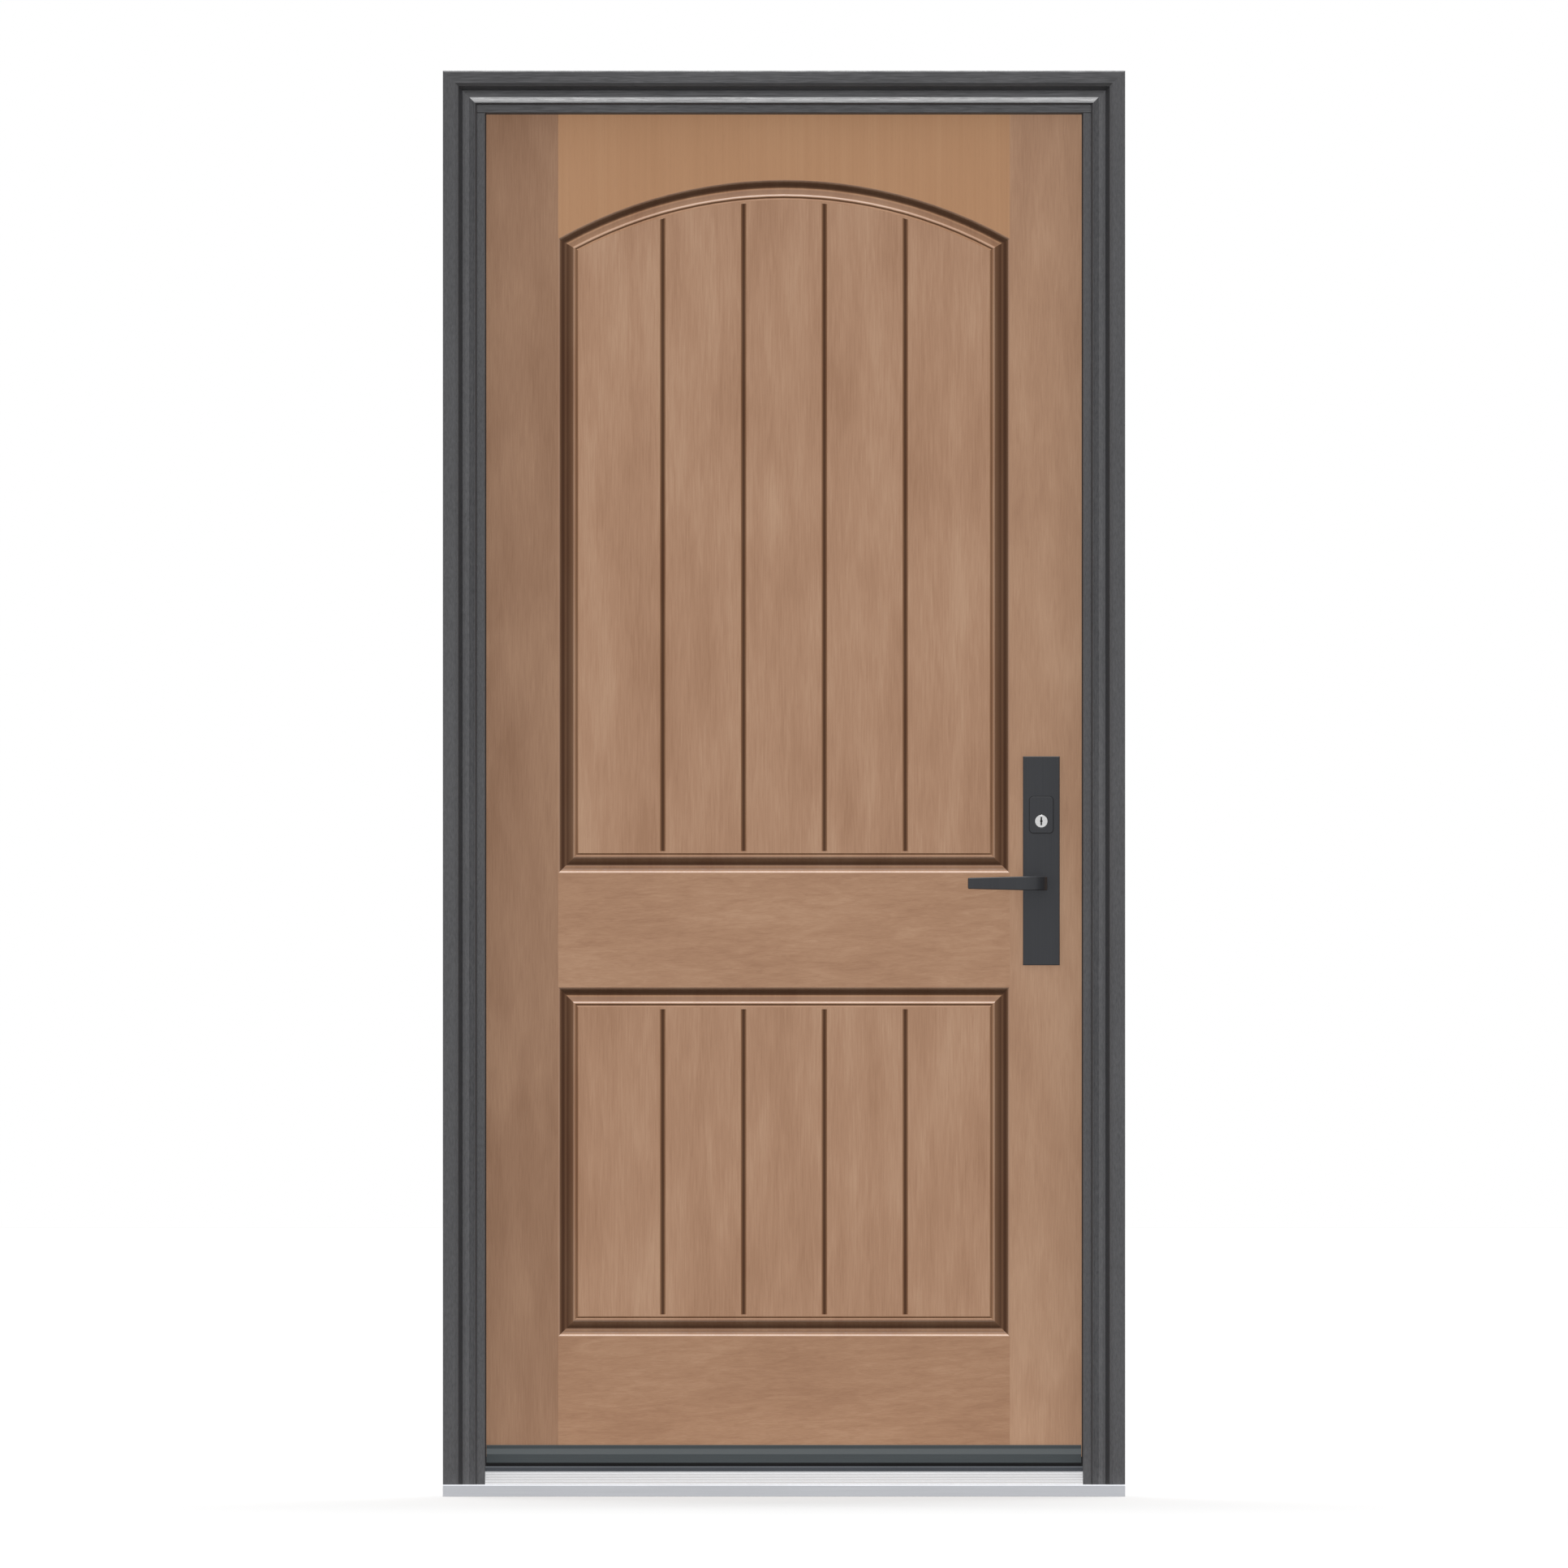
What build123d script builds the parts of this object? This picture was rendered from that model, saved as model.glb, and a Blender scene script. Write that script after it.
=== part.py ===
from build123d import *
import os

# Fiberglass entrance door: a pre-hung inward-opening unit, seen from outside with the hinges on the left.
# Axes in millimetres: X to the right, Y from outside to inside, Z up.
# The origin is on the underside of the sill, at mid width, in the plane of the outside wall.

# Frame: jambs with a rabbet for the leaf, and the brickmould that covers the joint with the wall
clear_width = 890.4
clear_height = 2060.0
jamb_thickness = 31.75
jamb_depth = 116.0
rabbet_depth = 12.7
stop_depth = 59.5
jamb_edge_round = 1.5
mould_width = 50.8
mould_thickness = 32.0
mould_reveal = 12.0

# Brickmould section: distance in from its outer edge, thickness there
mould_corner = 2.2
mould_flat_end = (18.0, mould_thickness)
mould_cove_start = (23.0, 28.8)
mould_cove_middle = (27.4, 16.2)
mould_cove_end = (33.0, 10.2)
mould_slope_start = (39.2, 9.7)
mould_slope_middle = (44.8, 12.4)
mould_slope_end = (47.1, 14.4)
mould_lip_end = (48.0, 14.4)
mould_foot = (mould_width, 4.0)

# Leaf: two moulded skins over a frame of stiles and rails, filled with foam
slab_thickness = 44.5
slab_setback = 1.0
slab_bottom = 58.0
hinge_gap = 5.0
lock_gap = 6.5
head_gap = 5.0
skin_thickness = 2.5
hinge_stile_width = 40.0
lock_stile_width = 100.0
top_rail_height = 50.0
bottom_rail_height = 100.0

# Panels pressed into the skins, the upper one with an arched top
stile_face = 109.8
bottom_rail_face = 181.3
lower_panel_height = 517.4
lock_rail_face = 171.7
top_rail_face = 107.7
upper_panel_rise = 87.0

# Moulded panel edge: distance in from the panel outline, depth below the face
edge_round_middle = (3.6, 1.2)
edge_round_end = (5.5, 4.4)
edge_ledge_end = (9.4, 4.9)
edge_valley = (11.6, 7.0)
edge_ogee_middle = (16.0, 5.1)
edge_ogee_end = (19.9, 1.7)
edge_rim = (20.7, 0.9)
quirk_start = 23.8
quirk_middle = 25.8
quirk_end = 28.2
quirk_depth = 2.5
curve_steps = 4
backing_reach = 3.0
backing_depth = 9.5

# Plank grooves across both panels
plank_pitch = 120.5
plank_groove_count = 4
plank_groove_width = 8.4
plank_groove_floor = 1.6
plank_groove_depth = 3.0
plank_end_margin = 2.9
plank_backing_width = 12.0
plank_backing_depth = 6.0

# Sill: aluminium deck over a composite substrate, with a threshold riser under the leaf
nosing_reach = 44.0
nosing_height = 17.5
deck_thickness = 2.5
nosing_round = 1.6
tread_start = 14.0
tread_rise = 18.2
rib_count = 5
rib_width = 10.0
rib_height = 1.4
riser_front = 62.0
riser_back = 112.0
riser_top = 44.0
riser_ridge = 16.0
riser_step_run = 2.0
riser_low = 37.0
riser_seat = 17.0
riser_round = 2.5

# Seals, drip cap and sweep
seal_height = 6.0
seal_margin = 0.6
seal_show = 1.5
kerf_width = 3.0
kerf_depth = 8.0
kerf_play = 0.1
seal_foot_gap = 1.0
sweep_height = 9.0
sweep_base = 3.0
sweep_fin_width = 3.0
sweep_fin_count = 4
sweep_tall_fins = 2
sweep_clearance = 5.0
sweep_depth = 34.0
sweep_end_margin = 4.0
cap_end_gap = 6.6
cap_flange = 2.2
cap_flange_top = 75.6
cap_slope_top = 69.8
cap_slope_start = 7.5
cap_nose_top = 63.0
cap_reach = 12.0
cap_lip = 2.5

# Hinges: three butt hinges with three knuckles each
hinge_from_top = 217.7
hinge_from_bottom = 202.0
hinge_axis_reach = 7.0
hinge_length = 101.6
leaf_width = 39.0
leaf_thickness = 2.5
leaf_play = 0.2
leaf_cutback = 2.0
knuckle_count = 3
knuckle_radius = 6.35
knuckle_play = 0.5
pin_radius = 3.2
pin_bore_radius = 3.25
pin_head_radius = 5.4
pin_head_height = 3.2
pin_tip_length = 2.0

# Handle set: long plates on both faces, lever below, key cylinder above
backset = 67.9
plate_width = 54.8
plate_below_lever = 122.2
plate_above_cylinder = 96.6
plate_thickness = 9.0
plate_bevel = 0.9
lever_height = 912.7
lever_to_cylinder = 92.6
hub_radius = 9.0
hub_bore_radius = 9.06
spindle_hole_radius = 9.0
spindle_size = 8.0
spindle_play = 0.1
spindle_grip = 14.0
neck_gap = 5.0
lever_reach = 58.0
lever_thickness = 9.0
lever_length = 109.6
lever_outer_bend = 34.0
lever_neck_half = 8.8
lever_neck_half_height = 10.4
lever_tip_half_height = 8.3
lever_edge_round = 1.4
guard_width = 35.0
guard_height = 54.0
guard_corner = 5.5
guard_thickness = 3.0
guard_lift = 9.5
plug_radius = 9.3
plug_bore_radius = 9.36
plug_ring = 0.8
plug_depth = 26.0
cylinder_hole_radius = 10.3
keyway_width = 2.2
keyway_height = 12.4
keyway_waist_radius = 1.9
keyway_depth = 7.0
tailpiece_size = (2.4, 6.0)
turn_width = 9.0
turn_height = 34.0
turn_reach = 22.0
turn_bevel = 2.0

# Multipoint lock on the edge of the leaf, and the strikes in the jamb
faceplate_width = 20.0
faceplate_thickness = 2.5
faceplate_from_top = 167.7
faceplate_from_bottom = 102.0
bolt_play = 0.3
bolt_length = 5.0
latch_size = (11.0, 18.0)
deadbolt_size = (12.0, 40.0)
hook_size = (10.0, 34.0)
deadbolt_above_lever = 72.3
hook_from_top = 427.7
hook_from_bottom = 242.0
strike_width = 28.0
strike_thickness = 2.0
strike_margin = 26.0
strike_play = 0.1
pocket_margin = 1.5
pocket_depth = 16.0

# Places that follow from the sizes above
half_clear = clear_width / 2
half_rabbet = half_clear + rabbet_depth
half_frame = half_clear + jamb_thickness
half_mould = half_clear + mould_reveal + mould_width
mould_top = clear_height + mould_reveal + mould_width
head_rabbet = clear_height + rabbet_depth
frame_top = clear_height + jamb_thickness
slab_left = -half_rabbet + hinge_gap
slab_right = half_rabbet - lock_gap
slab_top = head_rabbet - head_gap
slab_inside = jamb_depth - slab_setback
slab_outside = slab_inside - slab_thickness
slab_middle = (slab_inside + slab_outside) / 2
core_left = slab_left + hinge_stile_width
core_right = slab_right - lock_stile_width
core_bottom = slab_bottom + bottom_rail_height
core_top = slab_top - top_rail_height
half_panel = half_clear - stile_face
lower_panel_bottom = slab_bottom + bottom_rail_face
lower_panel_top = lower_panel_bottom + lower_panel_height
upper_panel_bottom = lower_panel_top + lock_rail_face
upper_panel_spring = slab_top - top_rail_face - upper_panel_rise
hinge_x = -half_rabbet + hinge_gap / 2
hinge_y = slab_inside + hinge_axis_reach
upper_hinge = slab_top - hinge_from_top
lower_hinge = slab_bottom + hinge_from_bottom
hinge_heights = {"upper": upper_hinge, "middle": (upper_hinge + lower_hinge) / 2, "lower": lower_hinge}
handle_x = slab_right - backset
cylinder_height = lever_height + lever_to_cylinder
deadbolt_height = lever_height + deadbolt_above_lever
hook_heights = (slab_bottom + hook_from_bottom, slab_top - hook_from_top)
middle_plane = Plane.XZ.offset(-slab_middle)


def block(x_range, y_range, z_range):
    """A box between two values on each axis."""
    size = [high - low for low, high in (x_range, y_range, z_range)]
    middle = [(high + low) / 2 for low, high in (x_range, y_range, z_range)]
    return Pos(*middle) * Box(*size)


def prism(plane, start, end, *lines):
    """A section drawn in XY, YZ or XZ and pushed along the third axis from start to end."""
    normal = {"XY": (0, 0, 1), "YZ": (1, 0, 0), "XZ": (0, 1, 0)}[plane]
    base = {"XY": Plane.XY, "YZ": Plane.YZ, "XZ": Plane.XZ}[plane]
    offset = -start if plane == "XZ" else start
    section = make_face(lines)
    return extrude(base.offset(offset) * section, end - start, dir=normal)


def rod(radius, x, z, y_range):
    """A round bar along Y."""
    length = y_range[1] - y_range[0]
    return Pos(x, sum(y_range) / 2, z) * Rot(90, 0, 0) * Cylinder(radius, length)


def upright(radius, x, y, z_range):
    """A round bar along Z."""
    length = z_range[1] - z_range[0]
    return Pos(x, y, sum(z_range) / 2) * Cylinder(radius, length)


# Jambs: the head lies over the sides, which are notched to take its stop
kerf_centre = half_clear + rabbet_depth / 2
head_section = Polyline(
    (0, clear_height), (0, frame_top), (jamb_depth, frame_top), (jamb_depth, head_rabbet),
    (stop_depth, head_rabbet), (stop_depth, clear_height), close=True)
head_jamb = prism("YZ", -half_frame, half_frame, head_section)
head_nose = head_jamb.edges().filter_by(Axis.X).group_by(Axis.Z)[0].sort_by(Axis.Y)[0]
head_jamb = fillet(head_nose, jamb_edge_round)
side_section = Polyline(
    (half_frame, 0), (half_clear, 0), (half_clear, stop_depth), (half_rabbet, stop_depth),
    (half_rabbet, jamb_depth), (half_frame, jamb_depth), close=True)
strike_jamb = prism("XY", 0, head_rabbet, side_section)
side_nose = strike_jamb.edges().filter_by(Axis.Z).group_by(Axis.X)[0].sort_by(Axis.Y)[0]
strike_jamb = fillet(side_nose, jamb_edge_round)
strike_jamb -= block((half_clear, half_frame), (0, stop_depth), (clear_height, head_rabbet))
side_kerf = block(
    (kerf_centre - kerf_width / 2, kerf_centre + kerf_width / 2),
    (stop_depth - kerf_depth, stop_depth), (riser_top + seal_foot_gap, clear_height))
strike_jamb -= side_kerf
hinge_jamb = mirror(strike_jamb, about=Plane.YZ)
kerf_z = clear_height + rabbet_depth / 2
head_jamb -= block(
    (-half_rabbet, half_rabbet), (stop_depth - kerf_depth, stop_depth),
    (kerf_z - kerf_width / 2, kerf_z + kerf_width / 2))

# Brickmould: one section on three sides, mitred at the top corners
mould_lines = [
    Line((0, 0), (0, mould_thickness - mould_corner)),
    Line((0, mould_thickness - mould_corner), (mould_corner, mould_thickness)),
    Line((mould_corner, mould_thickness), mould_flat_end),
    Line(mould_flat_end, mould_cove_start),
    ThreePointArc(mould_cove_start, mould_cove_middle, mould_cove_end),
    Line(mould_cove_end, mould_slope_start),
    Line(mould_slope_start, mould_slope_middle),
    Line(mould_slope_middle, mould_slope_end),
    Line(mould_slope_end, mould_lip_end),
    Line(mould_lip_end, mould_foot),
    Line(mould_foot, (mould_width, 0)),
    Line((mould_width, 0), (0, 0)),
]
mould_section = make_face(mould_lines)
side_plane = Plane(origin=(-half_mould, 0, nosing_height), x_dir=(1, 0, 0), z_dir=(0, 0, -1))
brickmould_left = extrude(side_plane * mould_section, mould_top - nosing_height, dir=(0, 0, 1))
head_plane = Plane(origin=(-half_mould, 0, mould_top), x_dir=(0, 0, -1), z_dir=(-1, 0, 0))
brickmould_head = extrude(head_plane * mould_section, 2 * half_mould, dir=(1, 0, 0))
left_mitre = Plane(origin=(-half_mould, 0, mould_top), x_dir=(0, 1, 0), z_dir=(1, 0, 1))
right_mitre = Plane(origin=(half_mould, 0, mould_top), x_dir=(0, 1, 0), z_dir=(-1, 0, 1))
brickmould_left = split(brickmould_left, bisect_by=left_mitre, keep=Keep.BOTTOM)
brickmould_right = mirror(brickmould_left, about=Plane.YZ)
brickmould_head = split(brickmould_head, bisect_by=left_mitre, keep=Keep.TOP)
brickmould_head = split(brickmould_head, bisect_by=right_mitre, keep=Keep.TOP)

# Sill: the deck folds over the nosing, then rises between the jambs; its ends run out under the brickmould
tread_low = (-nosing_reach + tread_start, nosing_height)
tread_high = (riser_front, nosing_height + tread_rise)
tread_run = tread_high[0] - tread_low[0]
deck_section = Polyline(
    (-nosing_reach, 0), (-nosing_reach, nosing_height), tread_low, tread_high,
    (tread_high[0], tread_high[1] - deck_thickness), (tread_low[0], tread_low[1] - deck_thickness),
    (-nosing_reach + deck_thickness, nosing_height - deck_thickness),
    (-nosing_reach + deck_thickness, 0), close=True)
sill_deck = prism("YZ", -half_clear, half_clear, deck_section)
rib_pitch = tread_run / rib_count
for rib in range(rib_count):
    rib_y = tread_low[0] + rib_pitch * (rib + 0.5)
    slope = tread_rise / tread_run
    rib_ends = (rib_y - rib_width / 2, rib_y + rib_width / 2)
    foot, head = [tread_low[1] + slope * (y - tread_low[0]) for y in rib_ends]
    rib_section = Polyline(
        (rib_ends[0], foot), (rib_ends[0] + rib_height, foot + rib_height),
        (rib_ends[1] - rib_height, head + rib_height), (rib_ends[1], head), close=True)
    sill_deck += prism("YZ", -half_clear, half_clear, rib_section)
horn_section = Polyline(
    (-nosing_reach, 0), (-nosing_reach, nosing_height), (0, nosing_height),
    (0, nosing_height - deck_thickness), (-nosing_reach + deck_thickness, nosing_height - deck_thickness),
    (-nosing_reach + deck_thickness, 0), close=True)
for horn_start, horn_end in ((-half_mould, -half_clear), (half_clear, half_mould)):
    sill_deck += prism("YZ", horn_start, horn_end, horn_section)
nosing_edges = sill_deck.edges().filter_by(Axis.X).group_by(Axis.Y)[0].group_by(Axis.Z)[-1]
sill_deck = fillet(nosing_edges, nosing_round)

substrate_front = -nosing_reach + deck_thickness
substrate_section = Polyline(
    (substrate_front, 0), (substrate_front, nosing_height - deck_thickness),
    (tread_low[0], tread_low[1] - deck_thickness), (tread_high[0], tread_high[1] - deck_thickness),
    (riser_front, 0), close=True)
sill_substrate = prism("YZ", -half_clear, half_clear, substrate_section)
sill_substrate += block((-half_rabbet, half_rabbet), (stop_depth, jamb_depth), (0, riser_seat))
for horn_range in ((-half_mould, -half_clear), (half_clear, half_mould)):
    sill_substrate += block(horn_range, (substrate_front, 0), (0, nosing_height - deck_thickness))

riser_section = Polyline(
    (riser_front, riser_seat), (riser_front, riser_top), (riser_front + riser_ridge, riser_top),
    (riser_front + riser_ridge + riser_step_run, riser_low), (riser_back, riser_low),
    (riser_back, riser_seat), close=True)
threshold_riser = prism("YZ", -half_rabbet, half_rabbet, riser_section)
riser_edges = threshold_riser.edges().filter_by(Axis.X).group_by(Axis.Z)[-1]
threshold_riser = fillet(riser_edges, riser_round)

# Kerf-in seals on the stops: a bulb on the face, whose lip just shows past the stop, and a leg in the kerf
bulb = (rabbet_depth / 2) - seal_margin
lip = rabbet_depth / 2 + seal_show
seal_lines = [
    Line((-lip, 0), (-kerf_width / 2 + kerf_play, 0)),
    Line((-kerf_width / 2 + kerf_play, 0), (-kerf_width / 2 + kerf_play, -kerf_depth + kerf_play)),
    Line((-kerf_width / 2 + kerf_play, -kerf_depth + kerf_play),
         (kerf_width / 2 - kerf_play, -kerf_depth + kerf_play)),
    Line((kerf_width / 2 - kerf_play, -kerf_depth + kerf_play), (kerf_width / 2 - kerf_play, 0)),
    Line((kerf_width / 2 - kerf_play, 0), (bulb, 0)),
    ThreePointArc((bulb, 0), (0, seal_height), (-lip, 0)),
]
seal_section = make_face(seal_lines)
seal_plane = Plane(origin=(kerf_centre, stop_depth, riser_top + seal_foot_gap), x_dir=(1, 0, 0))
seal_run = clear_height - seal_show - riser_top - seal_foot_gap
weatherstrip_strike_side = extrude(seal_plane * seal_section, seal_run, dir=(0, 0, 1))
weatherstrip_hinge_side = mirror(weatherstrip_strike_side, about=Plane.YZ)
head_seal_plane = Plane(origin=(-half_rabbet, stop_depth, kerf_z), x_dir=(0, 0, 1), z_dir=(-1, 0, 0))
weatherstrip_head = extrude(head_seal_plane * seal_section, 2 * half_rabbet, dir=(1, 0, 0))


def outline(inset, depth, bottom, spring, rise):
    """The edge of a panel, moved in by inset and set below the outside face by depth."""
    y = slab_outside + depth
    half = half_panel
    x = half - inset
    low = bottom + inset
    if not rise:
        corners = [(-x, y, low), (x, y, low), (x, y, spring - inset), (-x, y, spring - inset)]
        return Wire(Polyline(*corners, close=True).edges())
    radius = (half**2 + rise**2) / (2 * rise)
    centre = spring + rise - radius
    shoulder = centre + ((radius - inset)**2 - x**2) ** 0.5
    sides = Polyline((x, y, shoulder), (x, y, low), (-x, y, low), (-x, y, shoulder))
    arch = ThreePointArc((-x, y, shoulder), (0, y, centre + radius - inset), (x, y, shoulder))
    return Wire(list(sides.edges()) + [arch])


def stepped(outlines):
    """A solid ruled through a run of outlines."""
    return Part(Solid.make_loft(outlines, ruled=True).wrapped)


def curve(start, middle, end):
    """Even steps along a three-point arc of the edge section."""
    arc = ThreePointArc(start, middle, end)
    points = [arc.position_at(step / curve_steps) for step in range(curve_steps + 1)]
    return [(point.X, point.Y) for point in points]


# Moulded skin: the most skilled part, with the whole panel relief pressed into a thin sheet
edge_down = curve((0, 0), edge_round_middle, edge_round_end) + [edge_ledge_end, edge_valley]
edge_up = curve(edge_valley, edge_ogee_middle, edge_ogee_end) + [edge_rim]
panel_depth = edge_rim[1]
panels = [
    (lower_panel_bottom, lower_panel_top, 0),
    (upper_panel_bottom, upper_panel_spring, upper_panel_rise),
]
sheet = block((slab_left, slab_right), (slab_outside, slab_outside + skin_thickness), (slab_bottom, slab_top))
relief = []
backing = []
for panel in panels:
    recess = stepped([outline(inset, depth, *panel) for inset, depth in edge_down])
    field = stepped([outline(inset, depth, *panel) for inset, depth in edge_up])
    quirk = stepped([
        outline(quirk_start, panel_depth, *panel),
        outline(quirk_middle, quirk_depth, *panel)])
    quirk -= stepped([
        outline(quirk_middle, quirk_depth, *panel),
        outline(quirk_end, panel_depth, *panel)])
    relief += [recess - field, quirk]
    band = stepped([
        outline(-backing_reach, skin_thickness, *panel),
        outline(0, backing_depth, *panel)])
    band -= stepped([
        outline(quirk_end + backing_reach, skin_thickness, *panel),
        outline(quirk_end, backing_depth, *panel)])
    backing.append(band)
    flat = outline(quirk_end + plank_end_margin, 0, *panel)
    fence = extrude(make_face(flat.edges()), backing_depth, dir=(0, 1, 0))
    behind = outline(quirk_end, 0, *panel)
    behind_fence = extrude(make_face(behind.edges()), backing_depth, dir=(0, 1, 0))
    for groove in range(plank_groove_count):
        groove_x = (groove - (plank_groove_count - 1) / 2) * plank_pitch
        top_half = plank_groove_width / 2
        floor_half = plank_groove_floor / 2
        face_y = slab_outside + panel_depth
        groove_section = Polyline(
            (groove_x - top_half, face_y), (groove_x + top_half, face_y),
            (groove_x + floor_half, face_y + plank_groove_depth),
            (groove_x - floor_half, face_y + plank_groove_depth), close=True)
        cut = prism("XY", panel[0], panel[1] + panel[2], groove_section)
        relief.append(cut & fence)
        back_y = slab_outside + skin_thickness
        back_half = plank_backing_width / 2
        ridge_section = Polyline(
            (groove_x - back_half, back_y), (groove_x + back_half, back_y),
            (groove_x + floor_half + skin_thickness / 2, slab_outside + plank_backing_depth),
            (groove_x - floor_half - skin_thickness / 2, slab_outside + plank_backing_depth), close=True)
        ridge = prism("XY", panel[0], panel[1] + panel[2], ridge_section)
        backing.append(ridge & behind_fence)

exterior_skin = sheet + backing - relief
exterior_skin -= rod(spindle_hole_radius, handle_x, lever_height, (slab_outside, slab_middle))
exterior_skin -= rod(cylinder_hole_radius, handle_x, cylinder_height, (slab_outside, slab_middle))
interior_skin = mirror(exterior_skin, about=middle_plane)

# Stiles and rails between the skins, and the foam that fills the rest
inner_range = (slab_outside + skin_thickness, slab_inside - skin_thickness)
hinge_stile = block((slab_left, core_left), inner_range, (slab_bottom, slab_top))
lock_stile = block((core_right, slab_right), inner_range, (slab_bottom, slab_top))
top_rail = block((core_left, core_right), inner_range, (core_top, slab_top))
bottom_rail = block((core_left, core_right), inner_range, (slab_bottom, core_bottom))
foam_core = block((core_left, core_right), inner_range, (core_bottom, core_top))
foam_core -= backing
foam_core -= [mirror(piece, about=middle_plane) for piece in backing]
lock_stile -= rod(spindle_hole_radius, handle_x, lever_height, inner_range)
lock_stile -= rod(cylinder_hole_radius, handle_x, cylinder_height, inner_range)

# Drip cap across the foot of the leaf, and the finned sweep below it
cap_lines = Polyline(
    (slab_outside, cap_flange_top), (slab_outside - cap_flange, cap_flange_top),
    (slab_outside - cap_flange, cap_slope_top), (slab_outside - cap_slope_start, cap_slope_top),
    (slab_outside - cap_reach, cap_nose_top), (slab_outside - cap_reach, slab_bottom - sweep_height),
    (slab_outside - cap_reach + cap_lip, slab_bottom - sweep_height),
    (slab_outside - cap_reach + cap_lip, slab_bottom), (slab_outside, slab_bottom), close=True)
cap_half_length = half_clear - cap_end_gap
drip_cap = prism("YZ", -cap_half_length, cap_half_length, cap_lines)
sweep_ends = (slab_left + sweep_end_margin, slab_right - sweep_end_margin)
sweep_sides = (slab_middle - sweep_depth / 2, slab_middle + sweep_depth / 2)
door_sweep = block(sweep_ends, sweep_sides, (slab_bottom - sweep_base, slab_bottom))
fin_pitch = (sweep_depth - sweep_fin_width) / (sweep_fin_count - 1)
for fin in range(sweep_fin_count):
    fin_y = sweep_sides[0] + fin * fin_pitch
    tall = fin >= sweep_fin_count - sweep_tall_fins
    fin_foot = riser_low + sweep_clearance if tall else slab_bottom - sweep_height
    door_sweep += block(sweep_ends, (fin_y, fin_y + sweep_fin_width), (fin_foot, slab_bottom - sweep_base))

# Butt hinges: leaves let into the jamb and the leaf edge, knuckles turning on a loose pin
knuckle_pitch = hinge_length / knuckle_count
hinge_nodes = {}
for place, hinge_z in hinge_heights.items():
    bottom_z = hinge_z - hinge_length / 2
    leaves = {"jamb": -half_rabbet - leaf_thickness, "door": slab_left}
    for side, low_x in leaves.items():
        own = range(0, knuckle_count, 2) if side == "jamb" else range(1, knuckle_count, 2)
        others = [k for k in range(knuckle_count) if k not in own]
        back_edge = slab_inside - leaf_width
        leaf = block(
            (low_x, low_x + leaf_thickness), (back_edge, hinge_y),
            (bottom_z, bottom_z + hinge_length))
        mortise = block(
            (low_x, low_x + leaf_thickness), (back_edge - leaf_play, jamb_depth),
            (bottom_z - leaf_play, bottom_z + hinge_length + leaf_play))
        for k in others:
            k_low = bottom_z + k * knuckle_pitch
            leaf -= block(
                (low_x, low_x + leaf_thickness), (slab_inside - leaf_cutback, hinge_y),
                (k_low - knuckle_play / 2, k_low + knuckle_pitch + knuckle_play / 2))
        for k in own:
            k_low = bottom_z + k * knuckle_pitch
            gap_low = knuckle_play / 2 if k > 0 else 0
            gap_high = knuckle_play / 2 if k < knuckle_count - 1 else 0
            k_range = (k_low + gap_low, k_low + knuckle_pitch - gap_high)
            leaf += upright(knuckle_radius, hinge_x, hinge_y, k_range)
        leaf -= upright(pin_bore_radius, hinge_x, hinge_y, (bottom_z, bottom_z + hinge_length))
        hinge_nodes[f"hinge_{side}_leaf_{place}"] = leaf
        if side == "jamb":
            hinge_jamb -= mortise
        else:
            hinge_stile -= mortise
            interior_skin -= mortise
    pin = upright(pin_radius, hinge_x, hinge_y, (bottom_z - pin_tip_length, bottom_z + hinge_length))
    head_top = bottom_z + hinge_length + pin_head_height
    pin += upright(pin_head_radius, hinge_x, hinge_y, (bottom_z + hinge_length, head_top))
    hinge_nodes[f"hinge_pin_{place}"] = pin

# Multipoint lock: one long faceplate on the leaf edge with the bolts drawn back flush
bolts = {
    "latch_bolt": [(lever_height, latch_size)],
    "deadbolt": [(deadbolt_height, deadbolt_size)],
    "hook_bolts": [(height, hook_size) for height in hook_heights],
}
faceplate_y = (slab_middle - faceplate_width / 2, slab_middle + faceplate_width / 2)
faceplate_x = (slab_right - faceplate_thickness, slab_right)
faceplate_z = (slab_bottom + faceplate_from_bottom, slab_top - faceplate_from_top)
lock_faceplate = block(faceplate_x, faceplate_y, faceplate_z)
plate_bed = block(
    faceplate_x, (faceplate_y[0] - bolt_play, faceplate_y[1] + bolt_play),
    (faceplate_z[0] - bolt_play, faceplate_z[1] + bolt_play))
lock_stile -= plate_bed


def bolt_block(height, size, x_range, margin):
    """A rectangular bolt or its hole, centred on the leaf edge."""
    half_y = size[0] / 2 + margin
    half_z = size[1] / 2 + margin
    return block(x_range, (slab_middle - half_y, slab_middle + half_y), (height - half_z, height + half_z))


bolt_nodes = {}
bolt_x = (slab_right - bolt_length, slab_right)
for name, places in bolts.items():
    solids = [bolt_block(height, size, bolt_x, 0) for height, size in places]
    bolt_nodes[name] = solids[0] if len(solids) == 1 else Compound(children=solids)
    for height, size in places:
        hole = bolt_block(height, size, bolt_x, bolt_play)
        lock_faceplate -= hole
        lock_stile -= hole

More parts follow.
